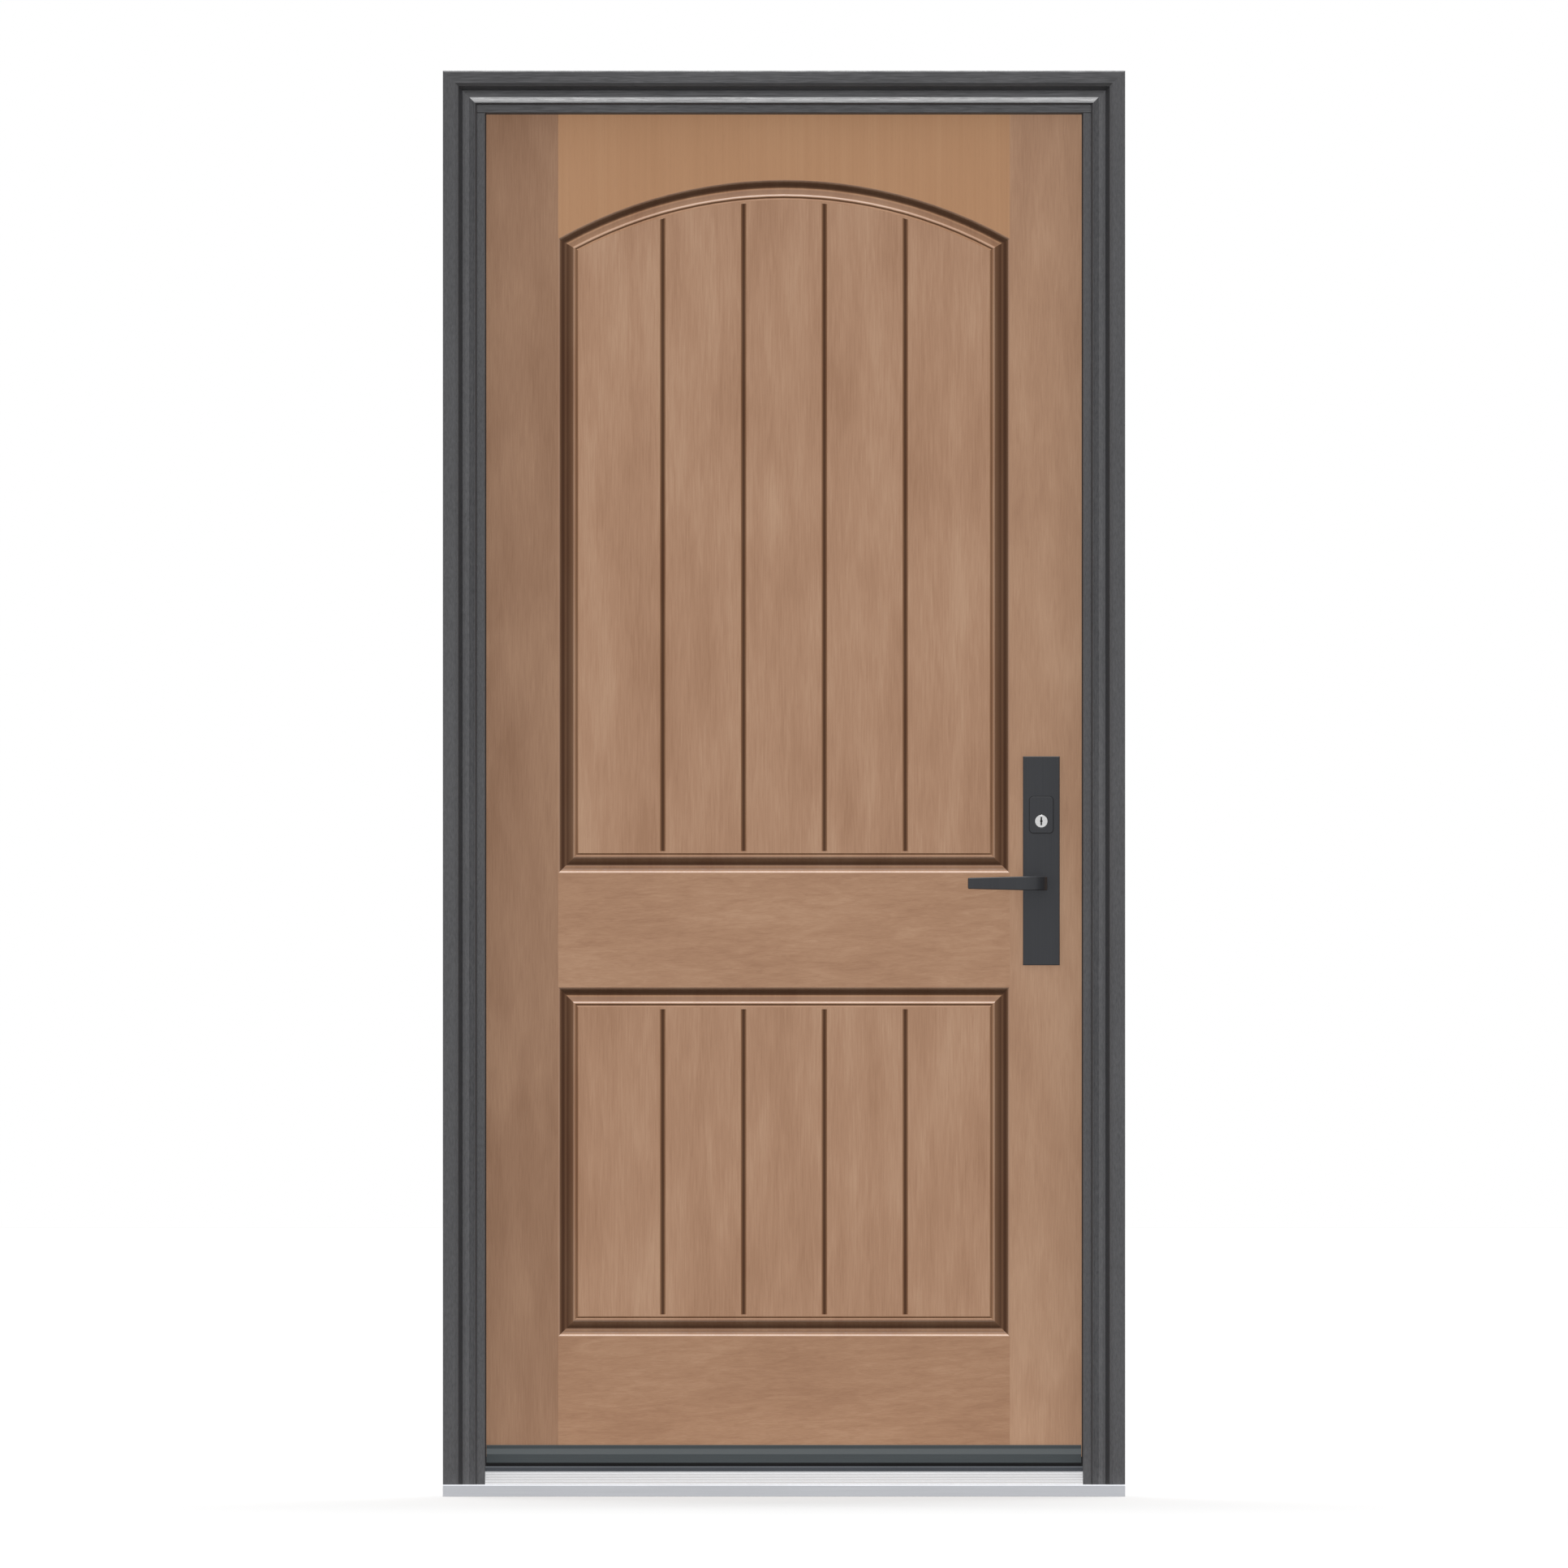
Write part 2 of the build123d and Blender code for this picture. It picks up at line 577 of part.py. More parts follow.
# Strikes let into the jamb, with a pocket behind each bolt
strike_x = (half_rabbet, half_rabbet + strike_thickness)
strike_y = (slab_middle - strike_width / 2, slab_middle + strike_width / 2)
strikes = {
    "strike_plate_centre": [(lever_height, latch_size), (deadbolt_height, deadbolt_size)],
    "strike_plate_upper": [(hook_heights[1], hook_size)],
    "strike_plate_lower": [(hook_heights[0], hook_size)],
}
strike_nodes = {}
for name, places in strikes.items():
    low = min(height - size[1] / 2 for height, size in places) - strike_margin
    high = max(height + size[1] / 2 for height, size in places) + strike_margin
    strike = block(strike_x, strike_y, (low, high))
    bed = block(
        strike_x, (strike_y[0] - strike_play, strike_y[1] + strike_play),
        (low - strike_play, high + strike_play))
    strike_jamb -= bed
    pocket_x = (half_rabbet, half_rabbet + pocket_depth)
    for height, size in places:
        pocket = bolt_block(height, size, pocket_x, pocket_margin)
        strike -= pocket
        strike_jamb -= pocket
    strike_nodes[name] = strike

# Handle plates on both faces
plate_z = (lever_height - plate_below_lever, cylinder_height + plate_above_cylinder)
plate_x = (handle_x - plate_width / 2, handle_x + plate_width / 2)
exterior_face = slab_outside - plate_thickness
exterior_plate = block(plate_x, (exterior_face, slab_outside), plate_z)
exterior_plate = chamfer(exterior_plate.edges().group_by(Axis.Y)[0], plate_bevel)
interior_plate = mirror(exterior_plate, about=middle_plane)
interior_face = slab_inside + plate_thickness
exterior_plate -= rod(hub_bore_radius, handle_x, lever_height, (exterior_face, slab_outside))
exterior_plate -= rod(cylinder_hole_radius, handle_x, cylinder_height, (exterior_face, slab_outside))
interior_plate -= rod(hub_bore_radius, handle_x, lever_height, (slab_inside, interior_face))
interior_plate -= rod(hub_bore_radius, handle_x, cylinder_height, (slab_inside, interior_face))

# Cylinder guard on the outside plate, with the key plug turning in it
guard_face = exterior_face - guard_thickness
guard_middle = cylinder_height + guard_lift
cylinder_guard = block(
    (handle_x - guard_width / 2, handle_x + guard_width / 2), (guard_face, exterior_face),
    (guard_middle - guard_height / 2, guard_middle + guard_height / 2))
cylinder_guard = fillet(cylinder_guard.edges().filter_by(Axis.Y), guard_corner)
cylinder_guard -= rod(plug_bore_radius, handle_x, cylinder_height, (guard_face, exterior_face))
guard_mouth = cylinder_guard.edges().filter_by(GeomType.CIRCLE).group_by(Axis.Y)[0]
guard_mouth = guard_mouth.filter_by(lambda edge: abs(edge.radius - plug_bore_radius) < plug_ring / 10)
cylinder_guard = chamfer(guard_mouth, plug_ring)

plug_end = guard_face + plug_depth
key_plug = rod(plug_radius, handle_x, cylinder_height, (guard_face, plug_end))
keyway_y = (guard_face, guard_face + keyway_depth)
key_plug -= block(
    (handle_x - keyway_width / 2, handle_x + keyway_width / 2), keyway_y,
    (cylinder_height - keyway_height / 2, cylinder_height + keyway_height / 2))
key_plug -= rod(keyway_waist_radius, handle_x, cylinder_height, keyway_y)

# Thumb turn inside, joined to the plug by a flat tailpiece
turn_base = interior_face + neck_gap
thumbturn = rod(hub_radius, handle_x, cylinder_height, (slab_inside, turn_base))
turn_bar = block(
    (handle_x - turn_width / 2, handle_x + turn_width / 2), (turn_base, interior_face + turn_reach),
    (cylinder_height - turn_height / 2, cylinder_height + turn_height / 2))
turn_bar = chamfer(turn_bar.edges().filter_by(Axis.Y), turn_bevel)
thumbturn += turn_bar
cylinder_tailpiece = block(
    (handle_x - tailpiece_size[0] / 2, handle_x + tailpiece_size[0] / 2), (plug_end, slab_inside),
    (cylinder_height - tailpiece_size[1] / 2, cylinder_height + tailpiece_size[1] / 2))

# Levers: a flat strap bent out of a round hub and tapered to the tip, the same on both sides
neck_start = exterior_face - neck_gap
strap_face = exterior_face - lever_reach
strap_back = strap_face + lever_thickness
neck_right = handle_x + lever_neck_half
neck_left = handle_x - lever_neck_half
tip_x = handle_x - lever_length
bend_x = neck_right - lever_outer_bend
inner_bend = neck_left - bend_x
lever_lines = [
    Line((neck_right, neck_start), (neck_right, strap_face + lever_outer_bend)),
    RadiusArc((neck_right, strap_face + lever_outer_bend), (bend_x, strap_face), lever_outer_bend),
    Line((bend_x, strap_face), (tip_x, strap_face)),
    Line((tip_x, strap_face), (tip_x, strap_back)),
    Line((tip_x, strap_back), (bend_x, strap_back)),
    RadiusArc((bend_x, strap_back), (neck_left, strap_back + inner_bend), -inner_bend),
    Line((neck_left, strap_back + inner_bend), (neck_left, neck_start)),
    Line((neck_left, neck_start), (neck_right, neck_start)),
]
lever_low = lever_height - lever_neck_half_height
lever_high = lever_height + lever_neck_half_height
lever_front = Polyline(
    (neck_right, lever_low), (neck_right, lever_high), (bend_x, lever_high),
    (tip_x, lever_height + lever_tip_half_height), (tip_x, lever_height - lever_tip_half_height),
    (bend_x, lever_low), close=True)
exterior_lever = prism("XY", lever_low, lever_high, *lever_lines)
exterior_lever = exterior_lever & prism("XZ", strap_face, neck_start, lever_front)
exterior_lever = fillet(exterior_lever.edges().filter_by(Axis.Z), lever_edge_round)
exterior_lever += rod(hub_radius, handle_x, lever_height, (neck_start, slab_outside))
socket_half = spindle_size / 2 + spindle_play
exterior_lever -= block(
    (handle_x - socket_half, handle_x + socket_half), (slab_outside - spindle_grip, slab_outside),
    (lever_height - socket_half, lever_height + socket_half))
interior_lever = mirror(exterior_lever, about=middle_plane)
lever_spindle = block(
    (handle_x - spindle_size / 2, handle_x + spindle_size / 2),
    (slab_outside - spindle_grip, slab_inside + spindle_grip),
    (lever_height - spindle_size / 2, lever_height + spindle_size / 2))

nodes = {
    "hinge_jamb": hinge_jamb,
    "strike_jamb": strike_jamb,
    "head_jamb": head_jamb,
    "brickmould_left": brickmould_left,
    "brickmould_right": brickmould_right,
    "brickmould_head": brickmould_head,
    "sill_deck": sill_deck,
    "sill_substrate": sill_substrate,
    "threshold_riser": threshold_riser,
    "weatherstrip_hinge_side": weatherstrip_hinge_side,
    "weatherstrip_strike_side": weatherstrip_strike_side,
    "weatherstrip_head": weatherstrip_head,
    "exterior_skin": exterior_skin,
    "interior_skin": interior_skin,
    "hinge_stile": hinge_stile,
    "lock_stile": lock_stile,
    "top_rail": top_rail,
    "bottom_rail": bottom_rail,
    "foam_core": foam_core,
    "drip_cap": drip_cap,
    "door_sweep": door_sweep,
    "lock_faceplate": lock_faceplate,
    "exterior_plate": exterior_plate,
    "interior_plate": interior_plate,
    "cylinder_guard": cylinder_guard,
    "key_plug": key_plug,
    "thumbturn": thumbturn,
    "cylinder_tailpiece": cylinder_tailpiece,
    "exterior_lever": exterior_lever,
    "interior_lever": interior_lever,
    "lever_spindle": lever_spindle,
}
nodes.update(hinge_nodes)
nodes.update(bolt_nodes)
nodes.update(strike_nodes)

os.makedirs("parts", exist_ok=True)
for node_name, shape in nodes.items():
    export_step(shape, f"parts/{node_name}.step")
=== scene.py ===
import math

import bmesh
import bpy
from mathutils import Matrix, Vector


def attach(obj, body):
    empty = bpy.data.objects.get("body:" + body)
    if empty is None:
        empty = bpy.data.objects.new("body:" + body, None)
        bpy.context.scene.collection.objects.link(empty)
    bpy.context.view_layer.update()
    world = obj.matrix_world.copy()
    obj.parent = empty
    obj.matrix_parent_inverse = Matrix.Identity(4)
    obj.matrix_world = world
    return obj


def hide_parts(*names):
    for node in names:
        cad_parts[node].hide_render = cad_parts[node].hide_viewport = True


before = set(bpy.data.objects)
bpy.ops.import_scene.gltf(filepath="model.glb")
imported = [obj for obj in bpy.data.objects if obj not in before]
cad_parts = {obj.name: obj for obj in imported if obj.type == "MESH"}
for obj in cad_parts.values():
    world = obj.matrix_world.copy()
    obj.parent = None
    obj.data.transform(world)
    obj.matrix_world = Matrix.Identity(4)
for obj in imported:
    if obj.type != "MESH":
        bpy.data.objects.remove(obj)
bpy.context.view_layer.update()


# Jambs: two sides and a head of laminated wood, wrapped in a charcoal film with a fine grain pressed in.
# Each is milled with the rabbet and stop that the leaf shuts against, and the head lies over the sides.
def shade(red, green, blue):
    """A colour given in screen values, as the share of light that it sends back."""
    shares = [value / 255 for value in (red, green, blue)]
    return [s / 12.92 if s <= 0.04045 else ((s + 0.055) / 1.055) ** 2.4 for s in shares] + [1.0]


def new_finish(name, roughness, specular):
    """An empty finish with its plain shader values set."""
    material = bpy.data.materials.new(name)
    material.use_nodes = True
    tree = material.node_tree
    shader = tree.nodes["Principled BSDF"]
    shader.inputs["Roughness"].default_value = roughness
    shader.inputs["Specular IOR Level"].default_value = specular
    return material, tree, shader


def grain_lines(tree, along, length, width, detail=3.0, waver=0.0, lean=0.0):
    """Noise drawn out along one axis: length and width are the size of one fleck in millimetres."""
    place = tree.nodes.new("ShaderNodeTexCoord")
    stretch = tree.nodes.new("ShaderNodeMapping")
    stretch.vector_type = "TEXTURE"
    stretch.inputs["Rotation"].default_value[1] = math.radians(-lean)
    for axis, letter in enumerate("XYZ"):
        stretch.inputs["Scale"].default_value[axis] = (length if letter == along else width) / 1000
    noise = tree.nodes.new("ShaderNodeTexNoise")
    noise.inputs["Scale"].default_value = 1.0
    noise.inputs["Detail"].default_value = detail
    noise.inputs["Distortion"].default_value = waver
    tree.links.new(place.outputs["Object"], stretch.inputs["Vector"])
    tree.links.new(stretch.outputs["Vector"], noise.inputs["Vector"])
    return noise.outputs["Fac"]


def blended(tree, first, second, share):
    """Two grain values mixed, with the given share of the second."""
    mix = tree.nodes.new("ShaderNodeMix")
    mix.inputs[0].default_value = share
    tree.links.new(first, mix.inputs[2])
    tree.links.new(second, mix.inputs[3])
    return mix.outputs[0]


def toned(tree, grain, stops):
    """Colours picked by a grain value, from (value, colour) stops."""
    ramp = tree.nodes.new("ShaderNodeValToRGB")
    ramp.color_ramp.elements[0].position = stops[0][0]
    ramp.color_ramp.elements[0].color = stops[0][1]
    ramp.color_ramp.elements[1].position = stops[-1][0]
    ramp.color_ramp.elements[1].color = stops[-1][1]
    for position, colour in stops[1:-1]:
        ramp.color_ramp.elements.new(position).color = colour
    tree.links.new(grain, ramp.inputs["Fac"])
    return ramp.outputs["Color"]


def pressed(tree, shader, grain, height, strength=1.0):
    """Raises the surface by the grain value, by up to height in millimetres."""
    bump = tree.nodes.new("ShaderNodeBump")
    bump.inputs["Strength"].default_value = strength
    bump.inputs["Distance"].default_value = height / 1000
    tree.links.new(grain, bump.inputs["Height"])
    tree.links.new(bump.outputs["Normal"], shader.inputs["Normal"])


def worn(tree, shader, grain, low, high):
    """Roughness that follows a grain value."""
    spread = tree.nodes.new("ShaderNodeMapRange")
    spread.inputs["From Min"].default_value = 0.3
    spread.inputs["From Max"].default_value = 0.7
    spread.inputs["To Min"].default_value = low
    spread.inputs["To Max"].default_value = high
    tree.links.new(grain, spread.inputs["Value"])
    tree.links.new(spread.outputs["Result"], shader.inputs["Roughness"])


def charcoal_film(name, along, dark, light, fleck=(7.0, 1.8)):
    """Matt charcoal film with pressed flecks along the piece, fleck giving their length and width."""
    material, tree, shader = new_finish(name, 0.38, 0.42)
    streaks = grain_lines(tree, along, *fleck, detail=4.0, waver=0.5)
    patches = grain_lines(tree, along, 300.0, 40.0)
    grain = blended(tree, streaks, patches, 0.3)
    stops = [(0.34, shade(dark, dark, dark + 2)), (0.66, shade(light, light, light + 2))]
    tree.links.new(toned(tree, grain, stops), shader.inputs["Base Color"])
    worn(tree, shader, streaks, 0.34, 0.46)
    pressed(tree, shader, streaks, 0.25)
    return material


def finish_solid(node, material):
    """Gives a carried-over solid its finish."""
    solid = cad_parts[node]
    if not solid.material_slots:
        solid.data.materials.append(material)
    for place in solid.material_slots:
        place.material = material


film_upright = charcoal_film("charcoal_film_upright", "Z", 64, 82)
film_level = charcoal_film("charcoal_film_level", "X", 56, 88, (30.0, 1.8))
finish_solid("hinge_jamb", film_upright)
finish_solid("strike_jamb", film_upright)
finish_solid("head_jamb", film_level)


# Brickmould: three lengths of one milled moulding in the same film, mitred at the top corners.
# They are nailed to the front of the jambs, 12 mm back from the opening, and stand on the ends of the sill.
def rounded(corners, steps=4):
    """A closed outline from (a, b, radius) corners, each corner with a radius turned into an arc."""
    points = []
    count = len(corners)
    for index, (a, b, radius) in enumerate(corners):
        here = Vector((a, b))
        if radius == 0:
            points.append((a, b))
            continue
        before = (Vector(corners[index - 1][:2]) - here).normalized()
        after = (Vector(corners[(index + 1) % count][:2]) - here).normalized()
        half = before.angle(after) / 2
        centre = here + (before + after).normalized() * (radius / math.sin(half))
        start = here + before * (radius / math.tan(half)) - centre
        end = here + after * (radius / math.tan(half)) - centre
        sweep = start.angle_signed(end)
        for step in range(steps + 1):
            turn = -sweep * step / steps
            spoke = Vector((start.x * math.cos(turn) - start.y * math.sin(turn),
                            start.x * math.sin(turn) + start.y * math.cos(turn)))
            points.append(tuple(centre + spoke))
    return points


def mounted(name, mesh, body):
    """Puts a mesh in place on its body, with flat faces kept flat beside their rounded edges."""
    piece = bpy.data.objects.new(name, mesh)
    bpy.context.scene.collection.objects.link(piece)
    evened = piece.modifiers.new("evened_faces", "WEIGHTED_NORMAL")
    evened.keep_sharp = True
    evened.weight = 90
    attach(piece, body)
    return piece


def new_piece(name, corners, faces, body, slot, materials, smooth_below=40.0, zones=None):
    """A mesh piece from corners in millimetres, riding on one body."""
    mesh = bpy.data.meshes.new(name)
    mesh.from_pydata([[value / 1000 for value in corner] for corner in corners], [], faces)
    work = bmesh.new()
    work.from_mesh(mesh)
    bmesh.ops.recalc_face_normals(work, faces=work.faces)
    work.to_mesh(mesh)
    work.free()
    for material in materials:
        mesh.materials.append(material)
    if zones:
        mesh.polygons.foreach_set("material_index", zones)
    mesh.shade_smooth()
    mesh.set_sharp_from_angle(angle=math.radians(smooth_below))
    return mounted(name, mesh, body)


def run_of(outline, place, start, end):
    """Corners and faces of a moulding run: start and end say where each outline point is cut off."""
    count = len(outline)
    corners = [place(a, b, start(a, b)) for a, b in outline]
    corners += [place(a, b, end(a, b)) for a, b in outline]
    faces = [(i, (i + 1) % count, (i + 1) % count + count, i + count) for i in range(count)]
    faces += [tuple(range(count)), tuple(range(2 * count - 1, count - 1, -1))]
    return corners, faces


mould_half = 508.0
mould_top = 2122.8
mould_foot = 17.5
mould_outline = rounded([
    (0.0, 0.0, 0), (0.0, 32.0, 2.4), (18.2, 32.0, 0.8), (23.0, 28.8, 0.6),
    (28.9, 11.4, 2.0), (33.0, 10.0, 4.0), (39.2, 9.7, 0.5), (44.8, 12.7, 3.0),
    (47.1, 14.4, 0.3), (48.0, 14.4, 0.3), (50.8, 4.0, 0.4), (50.8, 0.0, 0),
], steps=5)
# On the two side lengths the cove faces take a darker copy of the film, painted shade, and the slope faces a
# lighter copy, painted light.
mould_films_with_painted_light = [
    film_upright,
    charcoal_film("charcoal_film_painted_cove_shade", "Z", 50, 64),
    charcoal_film("charcoal_film_painted_slope_light", "Z", 70, 90),
]
painted_shade_reach, painted_light_reach = (23.2, 30.5), (33.5, 46.0)
mould_light_and_shade_zones = []
for (a, b), (next_a, next_b) in zip(mould_outline, mould_outline[1:] + mould_outline[:1]):
    middle = (a + next_a) / 2 if b + next_b > 0 else 0.0
    in_painted_shade = painted_shade_reach[0] < middle < painted_shade_reach[1]
    in_painted_light = painted_light_reach[0] < middle < painted_light_reach[1]
    mould_light_and_shade_zones.append(1 if in_painted_shade else 2 if in_painted_light else 0)
mould_light_and_shade_zones += [0, 0]
for side, name in ((-1, "brickmould_left"), (1, "brickmould_right")):
    run = run_of(
        mould_outline, lambda a, b, z: (side * (mould_half - a), -b, z),
        lambda a, b: mould_foot, lambda a, b: mould_top - a)
    mould = new_piece(name + "_trim", *run, "frame", "frame_cladding", mould_films_with_painted_light, zones=mould_light_and_shade_zones)
    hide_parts(name)
run = run_of(
    mould_outline, lambda a, b, x: (x, -b, mould_top - a),
    lambda a, b: a - mould_half, lambda a, b: mould_half - a)
mould = new_piece("brickmould_head_trim", *run, "frame", "frame_cladding", [film_level])
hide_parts("brickmould_head")


# Sill: a satin aluminium deck folded over the nosing and ribbed underfoot, on a composite block.
# The dark riser that the leaf shuts over is moulded composite, and the deck runs out under the brickmould.
def satin_metal(name, dull, bright, along, roughness, metallic, specular=0.5):
    """Drawn metal with fine lines along it and a slow change of tone."""
    material, tree, shader = new_finish(name, roughness, specular)
    shader.inputs["Metallic"].default_value = metallic
    lines = grain_lines(tree, along, 160.0, 0.9, detail=2.0)
    cloud = grain_lines(tree, along, 500.0, 60.0)
    grain = blended(tree, lines, cloud, 0.5)
    tree.links.new(toned(tree, grain, [(0.3, dull), (0.7, bright)]), shader.inputs["Base Color"])
    worn(tree, shader, lines, roughness - 0.06, roughness + 0.06)
    pressed(tree, shader, lines, 0.04)
    return material


def moulded_plastic(name, dull, bright, roughness, speck=1.5):
    """Moulded or extruded plastic with a fine even pebble."""
    material, tree, shader = new_finish(name, roughness, 0.2)
    pebble = grain_lines(tree, "X", speck, speck, detail=2.0)
    cloud = grain_lines(tree, "X", 120.0, 50.0)
    grain = blended(tree, pebble, cloud, 0.6)
    tree.links.new(toned(tree, grain, [(0.3, dull), (0.7, bright)]), shader.inputs["Base Color"])
    worn(tree, shader, pebble, roughness - 0.05, roughness + 0.05)
    pressed(tree, shader, pebble, 0.05)
    return material


nosing_reach, nosing_height, deck_sheet = -44.0, mould_foot, 2.5
nose_round, nose_foot_round = 1.6, 0.4
tread_low, tread_high = (-30.0, nosing_height), (62.0, 35.7)
sill_half, opening_half = mould_half, 445.2
rib_count, rib_width, rib_height = 5, 10.0, 1.4
rib_lean, rib_foot_round, rib_crest_round = 0.3, 0.15, 0.35
tread_slope = (tread_high[1] - tread_low[1]) / (tread_high[0] - tread_low[0])
rib_pitch = (tread_high[0] - tread_low[0]) / rib_count
tread_line = [(*tread_low, 0.0)]
for rib in range(rib_count):
    rib_y = tread_low[0] + rib_pitch * (rib + 0.5)
    front, back = [(y, tread_low[1] + tread_slope * (y - tread_low[0]))
                   for y in (rib_y - rib_width / 2, rib_y + rib_width / 2)]
    tread_line += [
        (*front, rib_foot_round), (front[0] + rib_lean, front[1] + rib_height, rib_crest_round),
        (back[0] - rib_height, back[1] + rib_height, rib_crest_round), (*back, rib_foot_round),
    ]
tread_line += [(*tread_high, 0.0), (tread_high[0], tread_high[1] - deck_sheet, 0.0)]
nose = [(nosing_reach, 0.0, nose_foot_round), (nosing_reach, nosing_height, nose_round)]
parting = (tread_low[0] + deck_sheet / tread_slope, nosing_height)
under_nose = [
    (tread_low[0], nosing_height - deck_sheet, 0.0),
    (nosing_reach + deck_sheet, nosing_height - deck_sheet, 0.0), (nosing_reach + deck_sheet, 0.0, 0.0),
]
horn_back = [(0.0, nosing_height), (0.0, nosing_height - deck_sheet)]
horn_line = [(*spot, 0.0) for spot in [tread_low, parting] + horn_back]
tread_outline = rounded(nose + tread_line + [(*parting, 0.0)] + under_nose)
horn_outline = rounded(nose + horn_line + under_nose)
tread_side = tread_outline[tread_outline.index(tread_low):tread_outline.index(parting) + 1]
horn_side = [parting] + horn_back + [under_nose[0][:2]]
corners, faces = [], []


def deck_face(spots):
    """One face of the deck, from corners that it may share with the faces beside it."""
    for spot in spots:
        if spot not in corners:
            corners.append(spot)
    faces.append([corners.index(spot) for spot in spots])


for outline, start_x, end_x in (
        (horn_outline, -sill_half, -opening_half), (tread_outline, -opening_half, opening_half),
        (horn_outline, opening_half, sill_half)):
    for here, after in zip(outline, outline[1:] + outline[:1]):
        deck_face([(start_x, *here), (start_x, *after), (end_x, *after), (end_x, *here)])
for end_x in (-sill_half, sill_half):
    deck_face([(end_x, *spot) for spot in horn_outline])
for end_x in (-opening_half, opening_half):
    deck_face([(end_x, *spot) for spot in tread_side])
    deck_face([(end_x, *spot) for spot in horn_side])
tread_start = tread_low[0] - 0.1
zones = [1 if min(corners[index][1] for index in ring) > tread_start else 0 for ring in faces]
# The tread takes a darker copy of the deck aluminium than the nosing: painted shade on the upward tread.
deck_metals = [
    satin_metal("satin_sill_aluminium", shade(186, 188, 193), shade(196, 198, 203), "X", 0.45, 0.2),
    satin_metal("shaded_tread_aluminium", shade(182, 183, 185), shade(189, 190, 192), "X", 0.5, 0.2),
]
deck = new_piece("sill_deck_folded", corners, faces, "frame", "sill_aluminium", deck_metals, 30.0, zones)
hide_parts("sill_deck")
block_grey = moulded_plastic("grey_sill_block", shade(92, 92, 90), shade(106, 106, 104), 0.7)
finish_solid("sill_substrate", block_grey)
riser_dark = moulded_plastic("dark_riser", shade(60, 63, 68), shade(69, 72, 77), 0.5)
finish_solid("threshold_riser", riser_dark)


# Weatherstrip: a foam bulb in a black rubber skin, one length to each stop.
# The bulb faces the leaf, and its barbed leg is pushed into a kerf in the stop.
rubber = moulded_plastic("black_seal_skin", shade(24, 24, 25), shade(36, 36, 37), 0.6)
for node in ("weatherstrip_hinge_side", "weatherstrip_strike_side", "weatherstrip_head"):
    finish_solid(node, rubber)


# Stiles, rails and core: laminated wood round the rim of the leaf, stained to match the skins.
# Foam is poured between them. Only the edges of the wood show, and only when the leaf is open.
def edge_wood(name, along):
    """Stained laminated wood, seen on the edge of the leaf."""
    material, tree, shader = new_finish(name, 0.5, 0.4)
    fibres = grain_lines(tree, along, 120.0, 2.5, detail=4.0)
    plies = grain_lines(tree, along, 900.0, 14.0)
    grain = blended(tree, fibres, plies, 0.5)
    stops = [(0.3, shade(112, 80, 58)), (0.55, shade(142, 106, 80)), (0.7, shade(158, 122, 95))]
    tree.links.new(toned(tree, grain, stops), shader.inputs["Base Color"])
    worn(tree, shader, fibres, 0.42, 0.58)
    pressed(tree, shader, fibres, 0.12)
    return material


upright_wood = edge_wood("stained_stile_wood", "Z")
level_wood = edge_wood("stained_rail_wood", "X")
finish_solid("hinge_stile", upright_wood)
finish_solid("lock_stile", upright_wood)
finish_solid("top_rail", level_wood)
finish_solid("bottom_rail", level_wood)
foam = moulded_plastic("poured_foam", shade(206, 190, 150), shade(222, 208, 172), 0.9, 3.0)
finish_solid("foam_core", foam)


# Skins: two fiberglass sheets pressed in a steel mould, with the wood grain, both panels and the plank
# grooves in one piece. They are glued to the stiles and rails, stained brown, and clear coated.
skin_left, skin_right = -452.9, 451.4
skin_foot, skin_top = 58.0, 2067.7
skin_outside, skin_inside = 70.5, 115.0
leaf_middle = (skin_outside + skin_inside) / 2
skin_sheet = 2.4
panel_half = 335.4
lower_panel = (238.4, 756.7, 0.0)
upper_panel = (928.9, 1873.0, 87.0)
plank_joints = (-180.75, -60.25, 60.25, 180.75)
joint_half, joint_floor = 4.2, 0.8
joint_depth, joint_end, joint_match = 3.9, 2.8, 0.01
hinge_heights, hinge_half = (260.0, 1055.0, 1850.0), 51.0
hinge_mortises = [(height - hinge_half, height + hinge_half) for height in hinge_heights]
mortise_depth = 2.7

# The pressed edge: distance in from the panel outline, and depth below the face
edge_section = [
    (-1.2, 0.0), (-0.8, 0.04), (-0.4, 0.13), (0.0, 0.28), (0.5, 0.52), (1.1, 0.86), (1.7, 1.24),
    (2.3, 1.66), (3.0, 2.18), (3.8, 2.72), (4.6, 3.2), (5.4, 3.62), (6.2, 3.96), (7.0, 4.22),
    (7.8, 4.46), (8.6, 4.7), (9.4, 4.98), (10.0, 5.24), (10.5, 5.46), (10.9, 5.58), (11.3, 5.6),
    (11.8, 5.5), (12.4, 5.28), (13.2, 4.96), (14.2, 4.55), (15.2, 4.14), (16.2, 3.73), (17.2, 3.32),
    (18.2, 2.91), (19.2, 2.5), (20.0, 2.17), (20.6, 1.88), (21.1, 1.58), (21.6, 1.27), (22.1, 1.0),
    (22.6, 0.82), (23.1, 0.73), (23.6, 0.74), (24.0, 0.84), (24.4, 1.04), (24.8, 1.34), (25.2, 1.7),
    (25.6, 2.02), (26.0, 2.2), (26.4, 2.22), (26.8, 2.06), (27.3, 1.72), (27.8, 1.34), (28.3, 1.05),
    (28.9, 0.9),
]
crest_end = 1.6
lip_reach = (20.5, 23.5)
